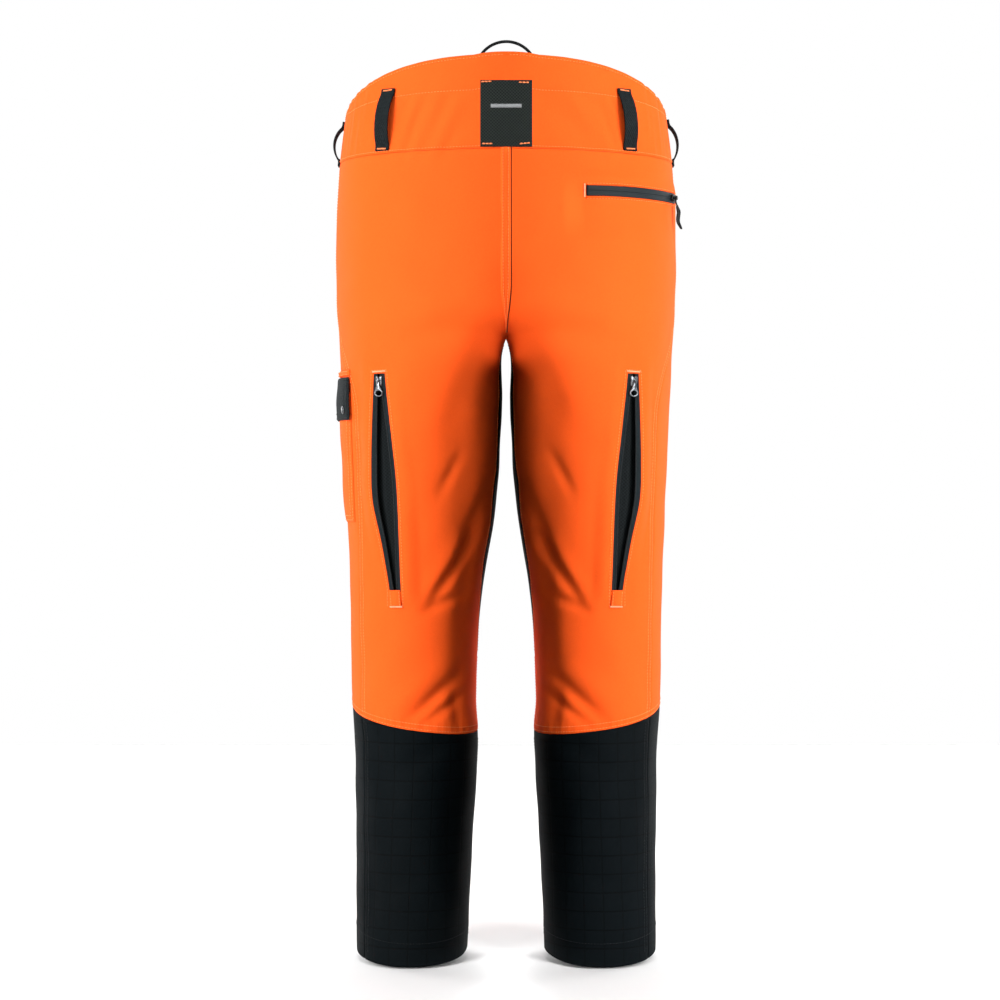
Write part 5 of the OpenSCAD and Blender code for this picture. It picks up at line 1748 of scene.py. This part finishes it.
# Small studs that hold the two corners of the flap.
studs = Soup(-1)
for t_at in (POCKET_BACK + 5, POCKET_FRONT - 4):
    p, n = left_surface(np.array([705.0]), np.array([t_at]),
                        flap_lift(np.array([705.0]), np.array([t_at])) + 2.3)
    x = unit(np.cross([0, 0, 1.0], n[0]))
    y = np.cross(n[0], x)
    studs.add(*extruded(circle * 5.2, None, 1.0, 0.35, (p[0] + 0.35 * n[0], x, y, n[0])))
    studs.add(*extruded(circle * 3.4, None, 1.0, 0.4, (p[0] + 0.9 * n[0], x, y, n[0])))
place(studs.build("thigh_flap_studs", [stud_metal]), "thigh_flap", "black_trim")


# ---------------------------------------------------------------- front pockets

def front_arc(angles, height):
    """Points at angles up the curved zip, a height above its tape, and the outward directions."""
    a = np.radians(np.asarray(angles, float))
    r = FRONT_R + FRONT_TAPE_Z + height
    y = -FRONT_ZIP_L / 2 + r * np.sin(a)
    z = FRONT_BULGE - FRONT_R + r * np.cos(a)
    p = front_zip.point(np.zeros_like(a), y, z)
    out = np.cos(a)[:, None] * front_zip.out + np.sin(a)[:, None] * front_zip.up
    return p, out


for sign, side in SIDE_NAMES:
    tapes, coils, lips, rows_of = Soup(sign), Soup(sign), Soup(sign), Soup(sign)
    angles = np.linspace(-FRONT_HALF + 0.05, FRONT_HALF - 0.05, 60)
    p, out = front_arc(angles, 0.0)
    across = np.broadcast_to(front_zip.across, p.shape)
    closed_zip(tapes, coils, p, -across, out, ZIP_W, 0.0)
    place(tapes.build(f"front_zip_tape_{side}_cloth", [tape_cloth]), "garment", "zip_tape",
          f"front_zip_tape_{side}")
    place(coils.build(f"front_zip_coil_{side}", [coil]), "garment", "zip_tape")
    # Folded cloth edges on both sides of the zip, closed at its ends.
    for x in (-1, 1):
        edge_p, edge_out = front_arc(np.linspace(-FRONT_HALF - 0.25, FRONT_HALF + 0.25, 60), 0.0)
        lips.add(*sweep(edge_p + front_zip.across * x * 7.4, -across, edge_out,
                        [(-1.9, -1.2), (-1.9, 0.8), (-1.2, 1.35), (1.2, 1.35), (1.9, 0.8),
                         (1.9, -1.2)][::-1]))
        stitch_line(rows_of, edge_p + front_zip.across * x * 7.6 + edge_out * 1.5, edge_out)
    for y in (-1, 1):
        end_p, end_out = front_arc([y * (FRONT_HALF + 0.12)], 0.0)
        x = np.linspace(-8.6, 8.6, 8)
        path = end_p + x[:, None] * front_zip.across
        lips.add(*sweep(path, np.broadcast_to(unit(np.cross(end_out[0], front_zip.across)), path.shape),
                        np.broadcast_to(end_out[0], path.shape),
                        [(-2.0, -1.2), (-2.0, 0.9), (-1.3, 1.4), (1.3, 1.4), (2.0, 0.9), (2.0, -1.2)][::-1]))
    place(lips.build(f"front_zip_welt_{side}", [orange_cloth]), "garment", "shell_fabric")
    place(rows_of.build(f"front_zip_stitches_{side}", [thread_orange]), "garment", "shell_fabric")
    tack = Soup(sign)
    for y in (-1, 1):
        end_p, end_out = front_arc([y * (FRONT_HALF + 0.12)], 1.4)
        bar_tack(tack, end_p[0], front_zip.across, end_out[0], 15.0, width=2.0, pitch=0.8)
    place(tack.build(f"front_zip_tacks_{side}", [thread_pale]), "garment", "shell_fabric")
    base, out = front_arc([FRONT_HALF - 0.4], STAND_OFF)
    up = unit(np.cross(out[0], front_zip.across))
    frame_of = (base[0], front_zip.across, up, out[0])
    slider(f"front_zip_slider_{side}", sign, frame_of, CHAIN_H + STAND_OFF)
    zip_pull(f"front_zip_pull_{side}", sign, frame_of, CHAIN_H + STAND_OFF)


# ---------------------------------------------------------------- fly and waist closure

FLY_DEPTH = 5.2


def front_point(z, x, lift):
    p = skin(z, angle_at(z, abs(x)))
    return np.array([x, p[1] + lift, p[2]])


fly = Frame(np.array([0.0, skin(FLY_HIGH, 90)[1] - FLY_DEPTH, FLY_HIGH]),
            front_point(FLY_HIGH - FLY_LENGTH, 0.0, -FLY_DEPTH), np.array([0, 1.0, 0]))
tapes, coils = Soup(), Soup()
y = np.linspace(0, -FLY_LENGTH, 40)
path = fly.point(np.zeros(40), y, np.full(40, 0.0))
closed_zip(tapes, coils, path, np.broadcast_to(fly.across, path.shape), np.broadcast_to(fly.out, path.shape),
           ZIP_W, TAPE_T, inset=4.5)
place(tapes.build("fly_zip_tape_cloth", [tape_cloth]), "garment", "zip_tape", "fly_zip_tape")
place(coils.build("fly_zip_coil", [coil]), "garment", "zip_tape")
frame_of = (fly.point(0.0, -2.0, TAPE_T + STAND_OFF), fly.across, fly.up, fly.out)
slider("fly_slider", 1, frame_of, CHAIN_H + STAND_OFF)
zip_pull("fly_pull", 1, frame_of, CHAIN_H + STAND_OFF)

COVER_LEFT, COVER_RIGHT = -27.0, 19.0


def cover_surface(z, x, lift):
    p = skin(z, angle_at(z, np.abs(x)))
    edge = 0.7 + 3.7 * smooth((x - COVER_LEFT) / 12.0)
    return np.stack([x, p[..., 1] + edge + lift, z], -1), np.broadcast_to([0, 1.0, 0], p.shape)


cover_low = FLY_HIGH - FLY_LENGTH - 14
zs, xs = edged(cover_low, FLY_HIGH, 3.0, 0.6), edged(COVER_LEFT, COVER_RIGHT, 2.6, 0.5)
z, x = np.meshgrid(zs, xs, indexing="ij")
edge = from_edge(z, x)
wave = 0.25 * np.sin(z / 13.0) * smooth((x - COVER_LEFT) / 20)
outer = cover_surface(z, x, 1.9 + wave - 1.2 * np.exp(-edge / 0.7))[0]
inner = cover_surface(z, x, 0.1 + wave)[0]
points, faces, uv = layer(outer, inner, x, z, flip=True)
cover = new_object("fly_cover_cloth", points, faces, [orange_cloth], uv)
place(cover, "fly_cover", "shell_fabric", "fly_cover")
fly_rows = Soup()
for inset in (2.5, 32.0, 38.0):
    x_at = np.full(60, COVER_RIGHT - inset)
    z_at = np.linspace(FLY_HIGH - 3, cover_low + 3 + (0 if inset < 9 else 10), 60)
    x_at = x_at + np.where(inset > 9, 14.0 * smooth((cover_low + 40 - z_at) / 40), 0.0)
    p, n = cover_surface(z_at, x_at, np.full(60, 2.15))
    stitch_line(fly_rows, p, n)
place(fly_rows.build("fly_cover_stitches", [thread_orange]), "fly_cover", "shell_fabric")

TAB_Z, TAB_H = 1052.0, 32.0
TAB_Y = float(front_point(TAB_Z - TAB_H / 2, 0.0, 2.6)[1])
STUD_X = 22.0
zs, xs = edged(TAB_Z - TAB_H / 2, TAB_Z + TAB_H / 2, 2.6, 0.5), edged(-34.0, 34.0, 2.6, 0.5)
z, x = np.meshgrid(zs, xs, indexing="ij")
edge = from_edge(z, x)
point = 3.5 * smooth((x - 22) / 12) * ((z - TAB_Z) / (TAB_H / 2))
front = np.stack([x, TAB_Y + 2.35 - 0.9 * np.exp(-edge / 0.6) + 0 * z, z - point], -1)
back = np.stack([x, TAB_Y + 0.05 + 0 * z, z - point], -1)
points, faces, uv = layer(front, back, x, z, flip=True)
tab = new_object("waist_tab_cloth", points, faces, [orange_band], uv)
place(tab, "waist_tab", "shell_fabric", "waist_tab")
tab_rows = Soup()
border = rounded_outline([(-31.5, -13.2), (27, -13.2), (31, -9.6), (31, 9.6), (27, 13.2), (-31.5, 13.2)], 1.5)
border = np.concatenate([border, border[:1]])
line = np.stack([border[:, 0], np.full(len(border), TAB_Y + 2.55), TAB_Z + border[:, 1]], -1)
stitch_line(tab_rows, line, np.broadcast_to([0, 1.0, 0], line.shape))
place(tab_rows.build("waist_tab_stitches", [thread_orange]), "waist_tab", "shell_fabric")
stud = Soup()
stud_at = np.array([STUD_X, TAB_Y + 2.5, TAB_Z])
axes = (np.array([-1.0, 0, 0]), np.array([0, 0, 1.0]), np.array([0, 1.0, 0]))
big = np.stack([np.cos(np.linspace(0, 2 * math.pi, 40, endpoint=False)),
                np.sin(np.linspace(0, 2 * math.pi, 40, endpoint=False))], -1)
stud.add(*extruded(big * 8.0, None, 1.2, 0.4, (stud_at + np.array([0, 0.6, 0]), *axes)))
stud.add(*extruded(big * 6.4, big * 4.4, 1.2, 0.35, (stud_at + np.array([0, 1.65, 0]), *axes)))
stud.add(*extruded(big * 3.6, None, 1.0, 0.4, (stud_at + np.array([0, 1.4, 0]), *axes)))
place(stud.build("waist_stud_metal", [stud_metal]), "waist_tab", "zip_metal", "waist_stud")
post = Soup()
post.add(*extruded(big * 4.0, big * 2.2, 1.6, 0.3, (np.array([STUD_X, TAB_Y - 1.2, TAB_Z]), *axes)))
place(post.build("stud_post_metal", [stud_metal]), "garment", "zip_metal", "stud_post")


# ---------------------------------------------------------------- inside: facing, bags, pads, linings, hems

def inner_patch(name, node, sign, z_values, t_values, outside, inside, material, slot, z_of=None, wave=0.0):
    """A layer inside the garment between two insets."""
    z, t = np.meshgrid(z_values, t_values, indexing="ij")
    if z_of is not None:
        z = z_of(z, t)
    flat = flat_size(name, z, t)
    ripple = wave * np.sin(z / 19.0 + t / 6.0) * np.sin(z / 43.0 - t / 11.0)
    p, n = cloth(z, t, sign, 0.0)[0], skin_normal(z, t)
    outer = p - n * (outside + np.abs(ripple))[..., None]
    inner = p - n * (inside + np.abs(ripple))[..., None]
    points, faces, uv = layer(outer, inner, t * ARC_SPEED, z, sign)
    obj = new_object(name, points, faces, [material], uv)
    return place(obj, "garment", slot, node), flat


# Distances of the inner layers from the outside of the shell.
FACING_NEAR, FACING_FAR = 4.7, 5.8
BAG_NEAR, BAG_FAR = 4.5, 5.8
PAD_NEAR, PAD_FAR = 5.8, 11.2
LINING_NEAR, LINING_FAR = 12.3, 13.2
PAD_LOW, PAD_TOP = 60, 765

facing = Soup()
for sign in (1, -1):
    facing.sign = sign
    t = np.linspace(-90 + 0.01, 86, 110)
    s = np.linspace(0, 1, 20)
    z0, z1 = waist_seam(t) + 3, band_top(t) - 6
    z = z0[None] + (z1 - z0)[None] * s[:, None]
    tt = np.broadcast_to(t, z.shape)
    outer = skin(z, tt, FACING_NEAR)
    inner = skin(z, tt, FACING_FAR)
    facing.add(*layer(outer, inner, tt * 3.2, z))
facing_piece = facing.build("waistband_facing_cloth", [facing_cloth])
place(facing_piece, "garment", "lining", "waistband_facing")
facing_long = 2 * 0.5 * (np.linalg.norm(np.diff(skin(z[0], t), axis=0), axis=1).sum()
                         + np.linalg.norm(np.diff(skin(z[-1], t), axis=0), axis=1).sum())

bag, size = inner_patch("hip_pocket_bag_cloth", "hip_pocket_bag", 1, np.linspace(842, 966, 40),
                        np.linspace(-66, -14, 34), BAG_NEAR, BAG_FAR, inside_cloth, "lining", wave=0.8)
for sign, side in SIDE_NAMES:
    bag, size = inner_patch(f"front_pocket_bag_{side}_cloth", f"front_pocket_bag_{side}", sign,
                            np.linspace(830, 1000, 50), np.linspace(22, 66, 30), BAG_NEAR, BAG_FAR,
                            inside_cloth, "lining", wave=0.8)
    pad_z, pad_t = np.linspace(PAD_LOW, PAD_TOP, 90), np.linspace(6, 174, 60)
    pad, size = inner_patch(f"protection_pad_{side}_felt", f"protection_pad_{side}", sign, pad_z, pad_t,
                            PAD_NEAR, PAD_FAR, pad_cloth, "protection_layers", z_of=row, wave=0.3)
    lining, size = inner_patch(f"leg_lining_{side}_cloth", f"leg_lining_{side}", sign, pad_z, pad_t,
                               LINING_NEAR, LINING_FAR, inside_cloth, "lining", z_of=row, wave=0.3)

hems = Soup()
for sign, side in SIDE_NAMES:
    hems.sign = sign
    t = np.linspace(-180, 180, 180)
    z = np.linspace(1.5, 34, 14)
    zz, tt = np.meshgrid(z, t, indexing="ij")
    zz = row(zz, tt)
    outer = cloth(zz, tt, sign, -SHELL_T - 0.3)[0]
    inner = cloth(zz, tt, sign, -SHELL_T - 1.4)[0]
    hems.add(*layer(outer, inner, tt * 1.5, zz))
place(hems.build("hem_facings_cloth", [inside_cloth]), "garment", "lower_leg_fabric", "hem_facings")

for sign, side in SIDE_NAMES:
    place(orange_stitches[side].build(f"topstitching_orange_{side}", [thread_orange]), "garment",
          "shell_fabric")
    place(black_stitches[side].build(f"topstitching_black_{side}", [thread_black]), "garment",
          "lower_leg_fabric")


# ---------------------------------------------------------------- stage and light

def area_light(name, location, target, size, power, colour=(1.0, 1.0, 1.0)):
    data = bpy.data.lights.new(name, "AREA")
    data.shape = "RECTANGLE"
    data.size, data.size_y = size
    data.energy = power
    data.color = colour
    obj = bpy.data.objects.new(name, data)
    direction = np.asarray(target, float) - np.asarray(location, float)
    yaw = math.atan2(direction[0], direction[1])
    pitch = math.atan2(direction[2], math.hypot(direction[0], direction[1]))
    obj.location = location
    obj.rotation_euler = (math.radians(90) + pitch, 0.0, -yaw)
    bpy.context.scene.collection.objects.link(obj)
    return obj


# Places and sizes of the lights are in metres, and their power in watts.
SIDE_LIGHT_Z, SIDE_TARGET, SIDE_SIZE = 1.35, (0, 0, 0.65), (1.3, 2.4)
OVERHEAD_Z, OVERHEAD_TARGET, OVERHEAD_SIZE = 3.1, (0, 0, 0.8), (2.2, 1.0)
for label, x, y, power in (("side", 2.1, -2.5, 142), ("side_front", 2.6, 2.0, 70)):
    for side, away in (("left", -1), ("right", 1)):
        area_light(f"{label}_{side}", (away * x, y, SIDE_LIGHT_Z), SIDE_TARGET, SIDE_SIZE, power)
for label, y in (("back", -1.2), ("front", 1.3)):
    area_light(f"overhead_{label}", (0, y, OVERHEAD_Z), OVERHEAD_TARGET, OVERHEAD_SIZE, 40)

# A dark card stands in the middle plane behind the garment, so that each half is lit from its own side.
# Just above the crotch it is a thin net, which lets some light through into the hollow there.
card_black = Graph("card_black")
card_black.set(Base_Color=(0.02, 0.02, 0.02, 1.0), Roughness=1.0, Specular_IOR_Level=0.0)
card_net = Graph("card_net")
card_height = card_net.nodes.new("ShaderNodeSeparateXYZ")
card_net.links.new(card_net.place(), card_height.inputs[0])
card_net.set(Base_Color=(0.02, 0.02, 0.02, 1.0), Roughness=1.0, Specular_IOR_Level=0.0,
             Alpha=card_net.remap(card_height.outputs[2], 0.82, 0.866, 0.45, 1.0))
card_z = np.array([30.0, 400.0, 700.0, 770.0, 796.0, 800.0, 806.0, 815.0, 830.0, 850.0, 870.0, 900.0, 960.0,
                   1020.0, 1030.0, 1060.0, 1090.0, 1116.0, 1120.0, 1150.0, 1300.0])
back_y = at_back(np.clip(card_z, CROTCH_Z + 1, BACK_TOP_Z - 2), 0.0)[0][:, 1]
card_y = np.where(card_z < CROTCH_Z, -10.0, back_y - np.interp(card_z, [1026.0, 1032.0, 1116.0, 1120.0],
                                                               [1.0, 2.0, 2.0, -0.4]))
near_edge = np.stack([0 * card_z, card_y, card_z], -1)
far_edge = np.stack([0 * card_z, 0 * card_z - 2600.0, card_z], -1)
card_strips = np.arange(len(card_z) - 1)
card_quads = [(k, k + 1, k + 1 + len(card_z), k + len(card_z)) for k in card_strips]
by_crotch = (card_z[:-1] >= 770.0) & (card_z[1:] <= 900.0)
card = new_object("card", np.concatenate([near_edge, far_edge]), card_quads,
                  [card_black.material, card_net.material], slots=by_crotch, flat=True)
card.visible_camera = False

# White all round up to the level of the eye, and dim above, so that the folds keep their shadows.
world = bpy.data.worlds.new("studio")
world.use_nodes = True
tree = world.node_tree
background = tree.nodes["Background"]
direction = tree.nodes.new("ShaderNodeTexCoord")
split = tree.nodes.new("ShaderNodeSeparateXYZ")
fade = tree.nodes.new("ShaderNodeMapRange")
for socket, value in zip(fade.inputs[1:5], (0.24, 0.34, 1.0, 0.12)):
    socket.default_value = value
tree.links.new(direction.outputs["Generated"], split.inputs[0])
tree.links.new(split.outputs[2], fade.inputs[0])
tree.links.new(fade.outputs[0], background.inputs[1])
background.inputs[0].default_value = (1.0, 1.0, 1.0, 1.0)
bpy.context.scene.world = world
bpy.context.scene.view_settings.view_transform = "Standard"

floor_graph = Graph("floor_white")
floor_tone = floor_graph.noise(3.0, 2.0)
floor_graph.set(Base_Color=floor_graph.mix(floor_tone, (0.93, 0.93, 0.93, 1.0), (0.9, 0.9, 0.9, 1.0)),
                Roughness=0.9, Specular_IOR_Level=0.1)
FLOOR = 2600.0
floor = new_object("floor",
                   [(-FLOOR, -FLOOR, -2), (FLOOR, -FLOOR, -2), (FLOOR, FLOOR, -2), (-FLOOR, FLOOR, -2)],
                   [(0, 1, 2, 3)], [floor_graph.material], flat=True)
